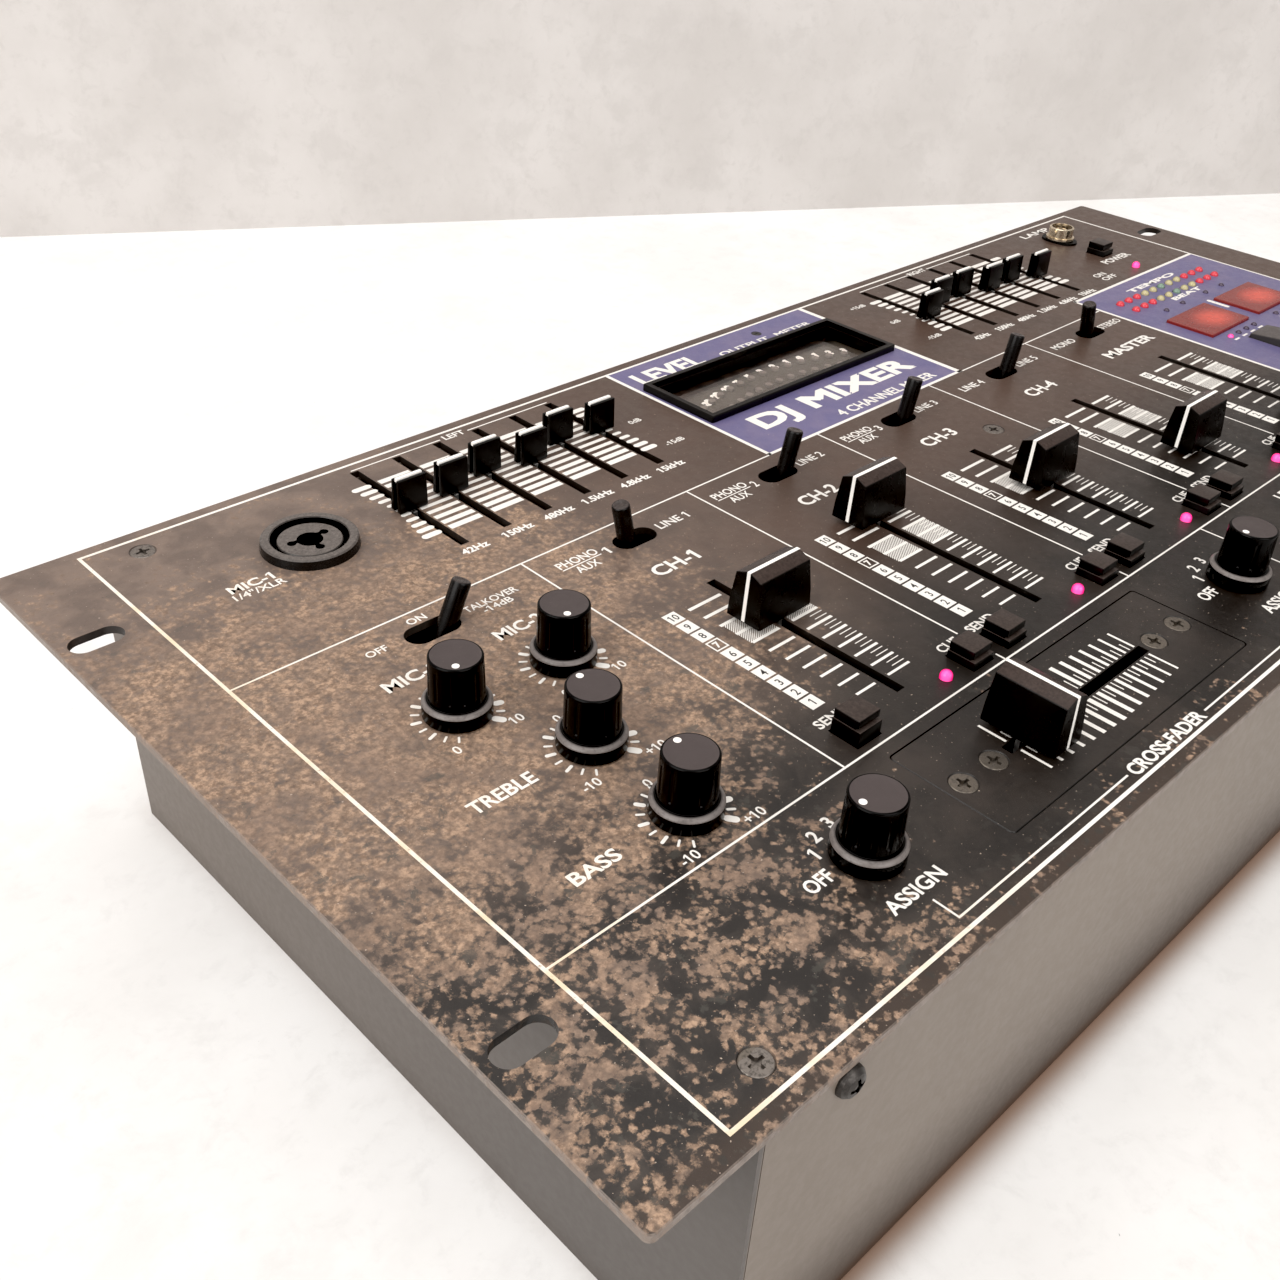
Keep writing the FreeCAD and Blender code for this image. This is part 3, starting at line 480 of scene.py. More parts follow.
def display_lens(name):
    """red lens, with a glow behind the middle of each of the two lenses"""
    mat = Shader(name)

    def spot(center_x, center_y=117.5, radius_x=13.5, radius_y=9.0):
        across = (mat.x - center_x) / radius_x
        along = (mat.y - center_y) / radius_y
        squares = across * across + along * along
        return squares.calc("SQRT", squares, 0.0).fall(0.15, 1.0)

    glow = spot(399.5).max(spot(435.5))
    glow = glow * mat.noise(0.5, detail=4, rough=0.6).remap((0.3, 0.7), (0.75, 1.1))
    return mat.finish(color=glow.mix((0.15, 0.012, 0.009), (0.36, 0.044, 0.028)),
                      rough=mat.noise(0.7).remap((0.3, 0.7), (0.14, 0.28)), spec=0.32,
                      emit=glow.mix((0.26, 0.016, 0.010), (1.0, 0.115, 0.060)),
                      glow=glow.lerp(0.14, 0.24))


MAT = {
    "panel": panel_paint("panel_paint_worn"),
    "xf_panel": panel_paint("crossfader_plate_paint", patina=0.35),
    "case": case_paint("case_paint_worn"),
    "print": print_ink("panel_print"),
    "rim": knob_rim("knob_rim_grey"),
    "scale_white": scale_print("meter_scale_white"),
    "brass": lamp_socket("brass_nickel"),
    "pcb": meter_board("board_brown"),
    "lit": lit_lamp("lamp_lit_pink"),
    "window": smoked_window("smoked_window"),
    "lens": display_lens("display_lens_red"),
}
# key: name, colour, roughness, its spread, specular, bump, dust, top colour (a painted sheen on the
# upward faces), grain scale
PLASTICS = {
    "gloss": ("knob_gloss_black", (0.0010, 0.0008, 0.0008), 0.18, 0.05, 0.10, 0.03, 0.10),
    "knobtop": ("knob_top_matte", (0.056, 0.044, 0.043), 0.50, 0.06, 0.25, 0.12, 0.35,
                None, 4.4),
    "cap": ("fader_cap_black", (0.0022, 0.0016, 0.0013), 0.30, 0.06, 0.14, 0.05, 0.22,
            (0.030, 0.021, 0.018)),
    "slider": ("slider_black", (0.0020, 0.0015, 0.0014), 0.32, 0.06, 0.13, 0.06, 0.15),
    "toggle": ("toggle_black", (0.0026, 0.0018, 0.0016), 0.26, 0.05, 0.20, 0.04, 0.12,
               (0.035, 0.028, 0.026)),
    "button": ("button_black", (0.0024, 0.0019, 0.0018), 0.34, 0.06, 0.15, 0.06, 0.22,
               (0.032, 0.024, 0.021)),
    "pad": ("tap_pad_grey", (0.030, 0.027, 0.027), 0.45, 0.06, 0.22, 0.1, 0.25,
            (0.060, 0.052, 0.050)),
    "bezel": ("meter_bezel_black", (0.0022, 0.0017, 0.0016), 0.34, 0.07, 0.14, 0.05, 0.25,
              (0.0060, 0.0046, 0.0042)),
    "jack": ("jack_black", (0.0030, 0.0024, 0.0022), 0.26, 0.07, 0.30, 0.06, 0.20,
             (0.075, 0.064, 0.058)),
    "inner": ("inner_black", (0.0020, 0.0018, 0.0017), 0.6, 0.05, 0.08, 0.1, 0.05),
    "rail": ("slot_rail_grey", (0.12, 0.10, 0.088), 0.45, 0.05, 0.3, 0.05, 0.1),
    "white": ("inlay_white", (0.86, 0.83, 0.79), 0.42, 0.06, 0.3, 0.05, 0.0),
    "mainboard": ("board_green", (0.02, 0.07, 0.03), 0.4, 0.06, 0.4, 0.1, 0.2),
    "print_dark": ("print_dark", (0.05, 0.046, 0.045), 0.6, 0.04, 0.2, 0.02, 0.0),
}
# key: name, colour, roughness, tarnish, tarnish colour
METALS = {
    "steel": ("bare_steel", (0.52, 0.50, 0.48), 0.34, 0.3, (0.13, 0.125, 0.12)),
    "screw": ("screw_dark", (0.07, 0.064, 0.06), 0.38, 0.6, (0.012, 0.010, 0.009)),
    "screw_old": ("screw_corroded", (0.23, 0.205, 0.185), 0.46, 0.85, (0.035, 0.028, 0.023)),
    "screw_black": ("screw_blackened", (0.19, 0.165, 0.14), 0.46, 0.75, (0.030, 0.024, 0.020)),
}
# key: name, colour, glow
LAMP_PLASTICS = {
    "led_red": ("lamp_red", (0.42, 0.026, 0.040), 0.60),
    "led_yellow": ("lamp_yellow", (0.42, 0.37, 0.20), 0.08),
    "led_green": ("lamp_green", (0.16, 0.24, 0.18), 0.04),
    "led_dark": ("lamp_dark", (0.05, 0.03, 0.06), 0.0),
}
for make, table in ((plastic, PLASTICS), (metal, METALS), (lamp_plastic, LAMP_PLASTICS)):
    for key, row in table.items():
        MAT[key] = make(*row)


# ------------------------------------------------------------------ mesh tools
def shade(mesh_data, angle):
    """smooth shading, sharp above the angle in degrees"""
    mesh_data.shade_smooth()
    mesh_data.set_sharp_from_angle(angle=math.radians(angle))


def new_object(name, mesh, materials, body, smooth=None):
    bmesh.ops.recalc_face_normals(mesh, faces=mesh.faces)
    data = bpy.data.meshes.new(name)
    mesh.to_mesh(data)
    mesh.free()
    for key in materials:
        data.materials.append(MAT[key])
    made = bpy.data.objects.new(name, data)
    bpy.context.scene.collection.objects.link(made)
    if smooth is not None:
        shade(data, smooth)
    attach(made, body)
    return made


def moving_part(node, suffix, mesh, materials, smooth):
    """a control that takes the place of the CAD node it is named after"""
    made = new_object(node + suffix, mesh, materials, node, smooth)
    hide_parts(node)


def prism(mesh, outline, z0, z1, slot=0):
    """closed prism over a simple polygon"""
    low = [mesh.verts.new(P(x, y, z0)) for x, y in outline]
    high = [mesh.verts.new(P(x, y, z1)) for x, y in outline]
    faces = [mesh.faces.new(high), mesh.faces.new(low[::-1])]
    for i in range(len(outline)):
        j = (i + 1) % len(outline)
        faces.append(mesh.faces.new((low[i], low[j], high[j], high[i])))
    for face in faces:
        face.material_index = slot


def rect(mesh, x0, x1, y0, y1, z0, z1):
    prism(mesh, [(x0, y0), (x1, y0), (x1, y1), (x0, y1)], z0, z1)


def arc(x, y, radius, start, sweep, steps, count):
    return [(x + radius * math.cos(start + sweep * k / steps),
             y + radius * math.sin(start + sweep * k / steps)) for k in range(count)]


def hexahedron(mesh, corners, radius, segments, profile=0.6, clamp=True, slot=0):
    """rounded block from four bottom corners and the four above them"""
    before = set(mesh.faces)
    verts = [mesh.verts.new(P(*corner)) for corner in corners]
    sides = ((3, 2, 1, 0), (4, 5, 6, 7), (0, 1, 5, 4), (1, 2, 6, 5), (2, 3, 7, 6), (3, 0, 4, 7))
    faces = [mesh.faces.new([verts[i] for i in side]) for side in sides]
    edges = list({edge for face in faces for edge in face.edges})
    bmesh.ops.bevel(mesh, geom=edges, offset=radius / 1000, segments=segments,
                    profile=profile, affect="EDGES", clamp_overlap=clamp)
    for face in set(mesh.faces) - before:
        face.material_index = slot


def boxes(mesh, x, y, z, rows):
    """rounded boxes round a point; each row is: half width in x, y0, y1, z0, z1, edge radius,
    segments, then optionally material slot and how far the top is drawn in along x and y"""
    for half, y0, y1, z0, z1, radius, segments, *rest in rows:
        slot, in_x, in_y = (*rest, 0, 0, 0)[:3]
        x0, x1 = x - half, x + half
        front, back, low, high = y + y0, y + y1, z + z0, z + z1
        hexahedron(mesh, (
            (x0, front, low), (x1, front, low), (x1, back, low), (x0, back, low),
            (x0 + in_x, front + in_y, high), (x1 - in_x, front + in_y, high),
            (x1 - in_x, back - in_y, high), (x0 + in_x, back - in_y, high),
        ), radius, segments, slot=slot)


def lathe(mesh, cx, cy, profile, seg, radius_at=None, slots=None, transform=None):
    """closed turned solid; the profile of (radius, z) runs from the axis round to the axis,
    with one material slot for each step"""
    rings = []
    for radius, z in profile:
        if radius < 1e-6:
            points = [P(cx, cy, z)]
        else:
            points = []
            for k in range(seg):
                angle = TAU * k / seg
                r = radius_at(radius, z, angle) if radius_at else radius
                points.append(P(cx + r * math.cos(angle), cy + r * math.sin(angle), z))
        rings.append([mesh.verts.new(transform @ p if transform else p) for p in points])
    for i, (one, two) in enumerate(zip(rings, rings[1:])):
        for k in range(seg):
            j = (k + 1) % seg
            if len(one) == 1:
                corners = (one[0], two[k], two[j])
            elif len(two) == 1:
                corners = (one[k], one[j], two[0])
            else:
                corners = (one[k], one[j], two[j], two[k])
            mesh.faces.new(corners).material_index = slots[i] if slots else 0


# ------------------------------------------------------------------ lettering
PRINT_BOTTOM, PRINT_TOP = -0.02, 0.035
REGULAR, BOLD, EXTRA_BOLD = 0.012, 0.022, 0.03


def flag_ones(string, verts, faces):
    """the built-in face draws a 1 as a bare bar; this adds its slanted flag"""
    parent = list(range(len(verts)))

    def root(i):
        while parent[i] != i:
            parent[i] = parent[parent[i]]
            i = parent[i]
        return i

    for face in faces:
        for i in face[1:]:
            parent[root(i)] = root(face[0])
    groups = {}
    for i in range(len(verts)):
        groups.setdefault(root(i), []).append(i)
    parts = sorted(groups.values(), key=lambda group: min(verts[i][0] for i in group))
    letters = string.replace(" ", "")
    if len(parts) != len(letters):
        return
    for letter, group in zip(letters, parts):
        if letter != "1":
            continue
        x0, x1, y0, y1 = extent([verts[i] for i in group])
        height = y1 - y0
        if x1 - x0 > 0.3 * height:
            continue
        flag = [(x0 + 0.01, y1), (x0 - 0.20 * height, y1 - 0.17 * height),
                (x0 - 0.20 * height, y1 - 0.33 * height), (x0 + 0.01, y1 - 0.17 * height)]
        k = len(verts)
        verts.extend((x, y, 0.1) for x, y in flag)
        verts.extend((x, y, -0.1) for x, y in flag)
        faces.append([k, k + 1, k + 2, k + 3])
        faces.append([k + 7, k + 6, k + 5, k + 4])
        for i in range(4):
            j = (i + 1) % 4
            faces.append([k + i, k + 4 + i, k + 4 + j, k + j])


def extent(verts):
    xs = [v[0] for v in verts]
    ys = [v[1] for v in verts]
    return min(xs), max(xs), min(ys), max(ys)


@cache
def letter_mesh(string, bold):
    """vertices and faces of a string at size 1"""
    curve = bpy.data.curves.new("lettering", "FONT")
    curve.body = string
    curve.size = 1.0
    curve.extrude = 0.1
    curve.offset = bold
    curve.resolution_u = 3
    holder = bpy.data.objects.new("lettering", curve)
    bpy.context.scene.collection.objects.link(holder)
    graph = bpy.context.evaluated_depsgraph_get()
    data = bpy.data.meshes.new_from_object(holder.evaluated_get(graph))
    mesh = bmesh.new()
    mesh.from_mesh(data)
    bmesh.ops.remove_doubles(mesh, verts=mesh.verts, dist=1e-5)
    mesh.verts.ensure_lookup_table()
    verts = [tuple(v.co) for v in mesh.verts]
    faces = [[v.index for v in face.verts] for face in mesh.faces]
    mesh.free()
    bpy.data.objects.remove(holder)
    bpy.data.curves.remove(curve)
    bpy.data.meshes.remove(data)
    if "1" in string:
        flag_ones(string, verts, faces)
    return verts, faces


def text(mesh, string, x0, x1, y0, y1, bottom=PRINT_BOTTOM, top=PRINT_TOP, slot=0,
         bold=REGULAR, turn=0.0):
    """lettering stretched to a box, then turned about its middle"""
    verts, faces = letter_mesh(string, bold)
    left, right, low, high = extent(verts)
    scale_x, scale_y = (x1 - x0) / (right - left), (y1 - y0) / (high - low)
    cx, cy = (x0 + x1) / 2, (y0 + y1) / 2
    mid_x, mid_y = (right + left) / 2, (high + low) / 2
    cos, sin = math.cos(turn), math.sin(turn)
    placed = []
    for x, y, z in verts:
        dx, dy = (x - mid_x) * scale_x, (y - mid_y) * scale_y
        placed.append(mesh.verts.new(P(cx + dx * cos - dy * sin, cy + dx * sin + dy * cos,
                                       top if z > 0 else bottom)))
    for face in faces:
        # guards against a face that the merged lettering holds twice
        try:
            mesh.faces.new([placed[i] for i in face]).material_index = slot
        except ValueError:
            pass


def centred_text(mesh, string, cx, cy, height, wide=1.0, bold=REGULAR, **style):
    left, right, low, high = extent(letter_mesh(string, bold)[0])
    width = (right - left) * (height / (high - low)) * wide
    text(mesh, string, cx - width / 2, cx + width / 2, cy - height / 2, cy + height / 2,
         bold=bold, **style)


def corner_shifts(dx, dy):
    return [(-dx, -dy), (dx, -dy), (-dx, dy), (dx, dy)]


# ------------------------------------------------------------------ panel print
ink = bmesh.new()          # slot 0 print white, 1 dark numerals in the white boxes


def patch(x0, x1, y0, y1):
    rect(ink, x0, x1, y0, y1, PRINT_BOTTOM, PRINT_TOP)


def hline(y, x0, x1, width=0.5):
    patch(x0, x1, y - width / 2, y + width / 2)


def vline(x, y0, y1, width=0.5):
    patch(x - width / 2, x + width / 2, y0, y1)


def bar(x0, y0, x1, y1, width, round_ends=False, top=PRINT_TOP):
    along = Vector((x1 - x0, y1 - y0))
    along.normalize()
    side = Vector((-along.y, along.x)) * (width / 2)
    if round_ends:
        angle = math.atan2(along.y, along.x)
        outline = arc(x0, y0, width / 2, angle + math.pi / 2, math.pi, 8, 9)
        outline += arc(x1, y1, width / 2, angle - math.pi / 2, math.pi, 8, 9)
    else:
        outline = [(x0 + side.x, y0 + side.y), (x0 - side.x, y0 - side.y),
                   (x1 - side.x, y1 - side.y), (x1 + side.x, y1 + side.y)]
    prism(ink, outline, PRINT_BOTTOM, top)


def labels(*rows, **style):
    """a row is (text, x0, x1, y0, y1) to fill a box, or (text, x, y, height) to be centred"""
    for string, *place in rows:
        draw = text if len(place) == 4 else centred_text
        draw(ink, string, *place, **style)


def heavy_labels(rows, dx, dy, centre=False):
    """strokes thickened by stacked, slightly shifted copies"""
    shifts = corner_shifts(dx, dy) + [(0.0, 0.0)] * centre
    for k, (dx, dy) in enumerate(shifts):
        for string, x0, x1, y0, y1 in rows:
            text(ink, string, x0 + dx, x1 + dx, y0 + dy, y1 + dy, bold=0.0, top=0.030 + 0.002 * k)


def panel_lines():
    for y in (4.1, 217.7):
        hline(y, 20.4, 462.5, 0.85)
    for x in (20.8, 462.05):
        vline(x, 4.5, 217.3, 0.85)
    # section lines
    hline(46.5, 21.2, 461.6)
    hline(148.5, 21.2, 192.4)
    hline(148.5, 287.5, 373.0)
    vline(100.6, 46.7, 148.3)
    for i in range(CHANNELS):
        vline(158.6 + 55.2 * i, 46.7, 49.3)
        vline(158.6 + 55.2 * i, 59.8, 148.3)
    vline(251.0, 4.5, 46.3)
    vline(373.6, 46.7, 70.0)
    # borders of the two blue fields
    vline(193.0, 148.3, 217.3, 1.25)
    vline(286.2, 148.3, 217.3, 1.8)
    hline(148.9, 192.4, 287.1, 1.1)
    vline(374.0, 69.6, 159.6, 1.25)
    hline(158.9, 373.4, 461.7, 1.25)
    hline(70.2, 373.4, 461.7, 1.1)


def input_labels():
    """microphone and headphone sections"""
    labels(("MIC-1", 45.8, 59.2, 126.0, 129.9), ("MIC-2", 76.2, 89.6, 126.0, 129.9),
           ("TREBLE", 35.8, 51.7, 84.1, 87.7), ("BASS", 37.7, 49.4, 57.3, 60.8),
           ("MIC-1", 40.4, 52.1, 180.8, 184.1), bold=BOLD)
    labels(("1/4\"/XLR", 39.8, 53.3, 177.6, 180.2), ("ON", 66.7, 145.2, 2.4),
           ("OFF", 49.8, 55.3, 139.3, 141.6), ("TALKOVER", 77.2, 92.7, 139.6, 142.0),
           ("-14dB", 80.7, 89.2, 137.0, 139.2))
    for dx in (0.0, 29.3):
        labels(("0", 45.1 + dx, 101.9, 2.5), ("10", 60.7 + dx, 102.0, 2.5))
    for name in ("treble_knob", "bass_knob"):
        y = KNOBS[name][1]
        labels(("-10", 58.4, y - 9.3, 2.5), ("0", 67.1, y + 10.9, 2.5),
               ("+10", 76.2, y - 9.3, 2.5))
    labels(("0", 284.5, 18.4, 2.5), ("10", 299.8, 18.4, 2.5))
    labels(("PHONES", 303.5, 322.5, 10.8, 14.2), ("LEVEL", 285.0, 299.0, 38.8, 42.0), bold=BOLD)


def channel_labels():
    for i in range(CHANNELS):
        dx = FADER_PITCH * i
        if i < 3:
            labels(("PHONO", 106.3 + dx, 119.0 + dx, 139.9, 142.8))
            hline(139.3, 106.3 + dx, 119.0 + dx, 0.35)
            labels(("AUX", 109.0 + dx, 116.3 + dx, 135.8, 138.6),
                   (str(i + 1), 120.2 + dx, 121.8 + dx, 138.1, 141.2),
                   ("LINE %d" % (i + 1), 139.2 + dx, 150.0 + dx, 138.4, 141.3))
        else:
            labels(("LINE 4", 274.4, 285.8, 138.2, 141.2), ("LINE 5", 305.6, 317.0, 138.2, 141.2))
        heavy_labels([("CH-%d" % (i + 1), 122.9 + dx, 137.3 + dx, 122.2, 126.6)], 0.16, 0.12)
        send = SEND_PITCH * i
        labels(("SEND", 106.4 + send, 116.6 + send, 57.6, 60.4),
               ("CUE", 149.5 + dx, 156.8 + dx, 57.2, 60.0), bold=BOLD)
    labels(("MONO", 328.3, 341.0, 138.2, 141.2), ("STEREO", 358.4, 371.4, 138.2, 141.2))
    labels(("MASTER", 337.0, 366.6, 122.2, 126.6), bold=EXTRA_BOLD)


def eq_scale(first_x, name, label_dx, name_half):
    """eleven lines that break at each slot, thicker and longer away from the middle"""
    centre = first_x + 2.5 * EQ_PITCH
    slots = [first_x + EQ_PITCH * i for i in range(6)]
    for j in range(11):
        y = 173.6 + 3.08 * j
        away = abs(j - 5) / 5.0
        width = 1.22 + 0.80 * away ** 1.2
        half = 38.3 + 2.9 * away ** 1.1
        ends = [v for x in slots for v in (x - 1.85, x + 1.85)]
        ends = [centre - half] + ends + [centre + half]
        for a, b in zip(ends[0::2], ends[1::2]):
            first, last = a == ends[0], b == ends[-1]
            bar(a + (width / 2 if first else 0), y, b - (width / 2 if last else 0), y, width,
                round_ends=(first or last))
    for x, string in zip(slots, ("42Hz", "150Hz", "480Hz", "1.5kHz", "4.8kHz", "15kHz")):
        labels((string, x + 0.6, 161.6, 2.6), wide=1.06, bold=EXTRA_BOLD)
    x = centre + label_dx
    labels(("+15dB", x, 205.4, 2.1), ("0dB", x, 188.6, 2.1), ("-15dB", x, 171.9, 2.1))
    labels((name, centre, 214.6, 2.6), bold=BOLD)
    hline(214.4, centre - 34.9, centre - name_half, 0.45)
    hline(214.4, centre + name_half, centre + 34.9, 0.45)


def fader_scale(x):
    def mark_y(i):
        return 60.5 + 4.68 * i

    for i in range(11):
        y = mark_y(i)
        width = 0.68 + 0.03 * i
        bar(x - (9.0 + 0.43 * i), y, x - 2.4, y, width)
        right = x + 10.0 + 0.2 * i
        bar(x + 2.2, y, right, y, width)
        if i < 10:
            for k in (1, 2):
                bar(right - 4.2, y + 1.56 * k, right, y + 1.56 * k, 0.25)
        if i == 7:
            # the 7 is white in an open frame
            for x0, x1, y0, y1 in ((-20.4, -16.4, -2.0, -1.6), (-20.4, -16.4, 1.6, 2.0),
                                   (-20.4, -20.0, -1.6, 1.6), (-16.8, -16.4, -1.6, 1.6)):
                patch(x + x0, x + x1, y + y0, y + y1)
            labels(("7", x - 18.4, y, 2.3), bold=EXTRA_BOLD)
        elif i > 0:
            patch(x - 20.4, x - 16.4, y - 2.05, y + 2.05)
            labels((str(i), x - 18.4, y, 2.3), wide=0.9, bottom=0.0, top=0.06, slot=1, bold=0.01)
    # diagonal shading between 6 and 8
    low, high = mark_y(6), mark_y(8)
    for x0, x1 in ((x - 11.9, x - 2.4), (x + 2.2, x + 11.3)):
        start = x0 - (high - low)
        while start < x1:
            xa = max(x0, start)
            ya = low + (xa - start)
            xb = min(x1, start + (high - low))
            yb = low + (xb - start)
            if xb - xa > 0.35:
                bar(xa + 0.05, ya + 0.05, xb - 0.05, yb - 0.05, 0.24, top=0.025)
            start += 0.62


def rotary_scale(cx, cy):
    """seventeen marks 18 degrees apart, every second one bold and widening towards the last"""
    for k in range(17):
        angle = math.radians(234.0 - 18.0 * k)
        cos, sin = math.cos(angle), math.sin(angle)
        if k % 2 == 0 and k > 0:
            width = 0.60 + 0.072 * k
            r0, r1 = (8.15, 9.65) if k == 16 else (7.8 + width / 2, 10.3 - width / 2)
        else:
            width = 0.50 + 0.012 * k
            r0, r1 = 7.9 + width / 2, 9.9 - width / 2
        bar(cx + r0 * cos, cy + r0 * sin, cx + r1 * cos, cy + r1 * sin, width, round_ends=True)


def crossfader_print():
    for dx in (0.0, 150.1):
        labels(("OFF", 68.2 + dx, 75.0 + dx, 27.6, 31.0), ("1", 76.3 + dx, 34.4, 3.2),
               ("2", 80.1 + dx, 37.6, 3.2), ("3", 85.3 + dx, 38.4, 3.2),
               ("ASSIGN", 75.3 + dx, 91.3 + dx, 14.5, 17.9), bold=BOLD)
    vline(83.8, 6.6, 12.6, 0.45)
    hline(6.8, 84.0, 142.8, 0.45)
    hline(6.8, 175.8, 234.0, 0.45)
    vline(234.0, 6.6, 12.6, 0.45)
    labels(("CROSS-FADER", 144.2, 174.3, 5.2, 8.6), bold=EXTRA_BOLD)
    # marks longer and thicker towards the middle
    for k in range(15):
        x = 133.1 + 3.785 * k
        middle = 1.0 - abs(k - 7) / 7.0
        width = 0.65 + 0.75 * middle
        bar(x, 29.6, x, 36.6 + 1.6 * middle, width)
        bar(x, 25.9, x, 18.5 - 1.7 * middle, width)
        if k < 14:
            bar(x + 1.89, 29.6, x + 1.89, 32.3 + 0.9 * middle, 0.34)
            bar(x + 1.89, 25.9, x + 1.89, 23.2 - 0.9 * middle, 0.34)


def title_print():
    heavy_labels([("DJ MIXER", 204.9, 277.6, 157.8, 168.4)], 0.60, 0.42, centre=True)
    heavy_labels([("4 CHANNEL MIXER", 230.0, 277.5, 151.4, 155.2),
                  ("OUTPUT  METER", 234.0, 279.0, 205.4, 208.0)], 0.12, 0.08)
    heavy_labels([("LEVEL", 198.3, 226.2, 205.1, 212.5)], 0.40, 0.30, centre=True)


def tempo_print():
    """lamp, power and beat counter"""
    labels(("LAMP", 421.5, 440.8, 210.8, 214.2), ("POWER", 422.0, 440.5, 173.2, 176.8), bold=BOLD)
    labels(("ON", 404.5, 411.5, 167.4, 170.2), ("OFF", 404.5, 413.5, 163.6, 166.4))
    labels(("TEMPO", 400.0, 434.0, 150.4, 153.0), ("BEAT", 407.0, 428.0, 135.9, 138.3), bold=0.04)
    bar(417.0, 120.8, 417.0, 127.8, 1.9, round_ends=True)
    for x0 in (389.5, 425.3):
        for i in range(4):
            patch(x0 + 6 * i - 1.6, x0 + 6 * i + 1.6, 102.9, 103.7)
    labels(("TAP", 396.0, 406.0, 76.5, 79.5), ("TAP", 432.0, 442.0, 76.5, 79.5), bold=BOLD)


panel_lines()
input_labels()
channel_labels()
eq_scale(EQ_LEFT, "LEFT", label_dx=47.0, name_half=4.9)
eq_scale(EQ_RIGHT, "RIGHT", label_dx=-47.5, name_half=6.0)
for x in FADER_X:
    fader_scale(x)
for name, (x, y, _) in KNOBS.items():
    if "assign" not in name:
        rotary_scale(x, y)
crossfader_print()
title_print()
tempo_print()
new_object("panel_print", ink, ["print", "print_dark"], ROOT)


# ------------------------------------------------------------------ knobs
GLOSS, TOP, DOT, STEEL, RIM = range(5)
FLUTE_STEP, FLUTE_RADIUS = 30.0, 1.0      # degrees, mm


def barrel_radius(z):
    """the barrel tapers from its foot to its top"""
    return 6.05 + (5.80 - 6.05) * (z - 4.5) / (15.1 - 4.5)


def knob(name, x, y, pointer):
    def fluted(radius, z, angle):
        if not (6.3 < z < 13.2) or radius < 5.0:
            return radius
        off = (math.degrees(angle) - pointer - FLUTE_STEP / 2) % FLUTE_STEP
        if off > FLUTE_STEP / 2:
            off -= FLUTE_STEP
        off = math.radians(off)
        flute_centre = radius + 0.80
        side = flute_centre * math.sin(off)
        if abs(side) < FLUTE_RADIUS:
            depth = math.sqrt(FLUTE_RADIUS - side * side)
            return min(radius, flute_centre * math.cos(off) - depth)
        return radius

    heights = [6.1, 6.35, 6.62] + [7.0 + 0.98 * k for k in range(7)] + [13.15, 13.3, 14.45]
    # material slot, then the (radius, z) points its steps lead to
    sections = (
        (STEEL, [(3.0, 11.1), (3.0, 0.3)]),
        (GLOSS, [(7.15, 0.3), (7.35, 0.36), (7.5, 0.55), (7.5, 2.0), (7.5, 3.62)]),
        (RIM, [(7.4, 3.88), (7.15, 4.12), (6.85, 4.36), (6.5, 4.48)]),
        (GLOSS, [(6.2, 4.51), (6.07, 4.58), (6.05, 4.8)]
         + [(barrel_radius(z), z) for z in heights]
         + [(5.80, 14.72), (5.73, 14.92), (5.62, 15.03), (5.48, 15.09), (5.3, 15.1)]),
        (TOP, [(5.2, 15.06), (3.0, 15.08), (1.2, 15.1), (0, 15.1)]),
    )
    profile = [(0, 11.1)] + [point for _, points in sections for point in points]
    slots = [slot for slot, points in sections for _ in points]
    mesh = bmesh.new()
    lathe(mesh, x, y, profile, seg=240, radius_at=fluted, slots=slots)
    # pointer dot let into the top, and the shaft
    angle = math.radians(pointer)
    dot = arc(x + 4.05 * math.cos(angle), y + 4.05 * math.sin(angle), 0.80, 0.0, TAU, 24, 24)
    prism(mesh, dot, 14.9, 15.13, DOT)
    shaft = [(0, -13.5), (2.6, -13.5), (2.95, -13.1), (2.98, 11.05), (0, 11.05)]
    lathe(mesh, x, y, shaft, seg=32, slots=[STEEL] * 4)
    moving_part(name, "_turned", mesh, ["gloss", "knobtop", "white", "steel", "rim"], 32)


for name, place in KNOBS.items():
    knob(name, *place)

# ------------------------------------------------------------------ fader caps
CAP_HALF, CAP_FOOT, CAP_SHOULDER, CAP_RIDGE = 9.1, 1.5, 13.5, 14.8
CAP_CREASE = 6.0           # z where the flanks bend
CAP_END_LEAN = 0.55        # how far each end leans in from foot to ridge
# cross section: (y, z)
CAP_SECTION = (
    (-5.15, CAP_FOOT), (5.15, CAP_FOOT), (4.75, CAP_CREASE), (3.85, CAP_SHOULDER),
    (0.62, CAP_RIDGE), (-0.62, CAP_RIDGE), (-3.85, CAP_SHOULDER), (-4.75, CAP_CREASE),
)


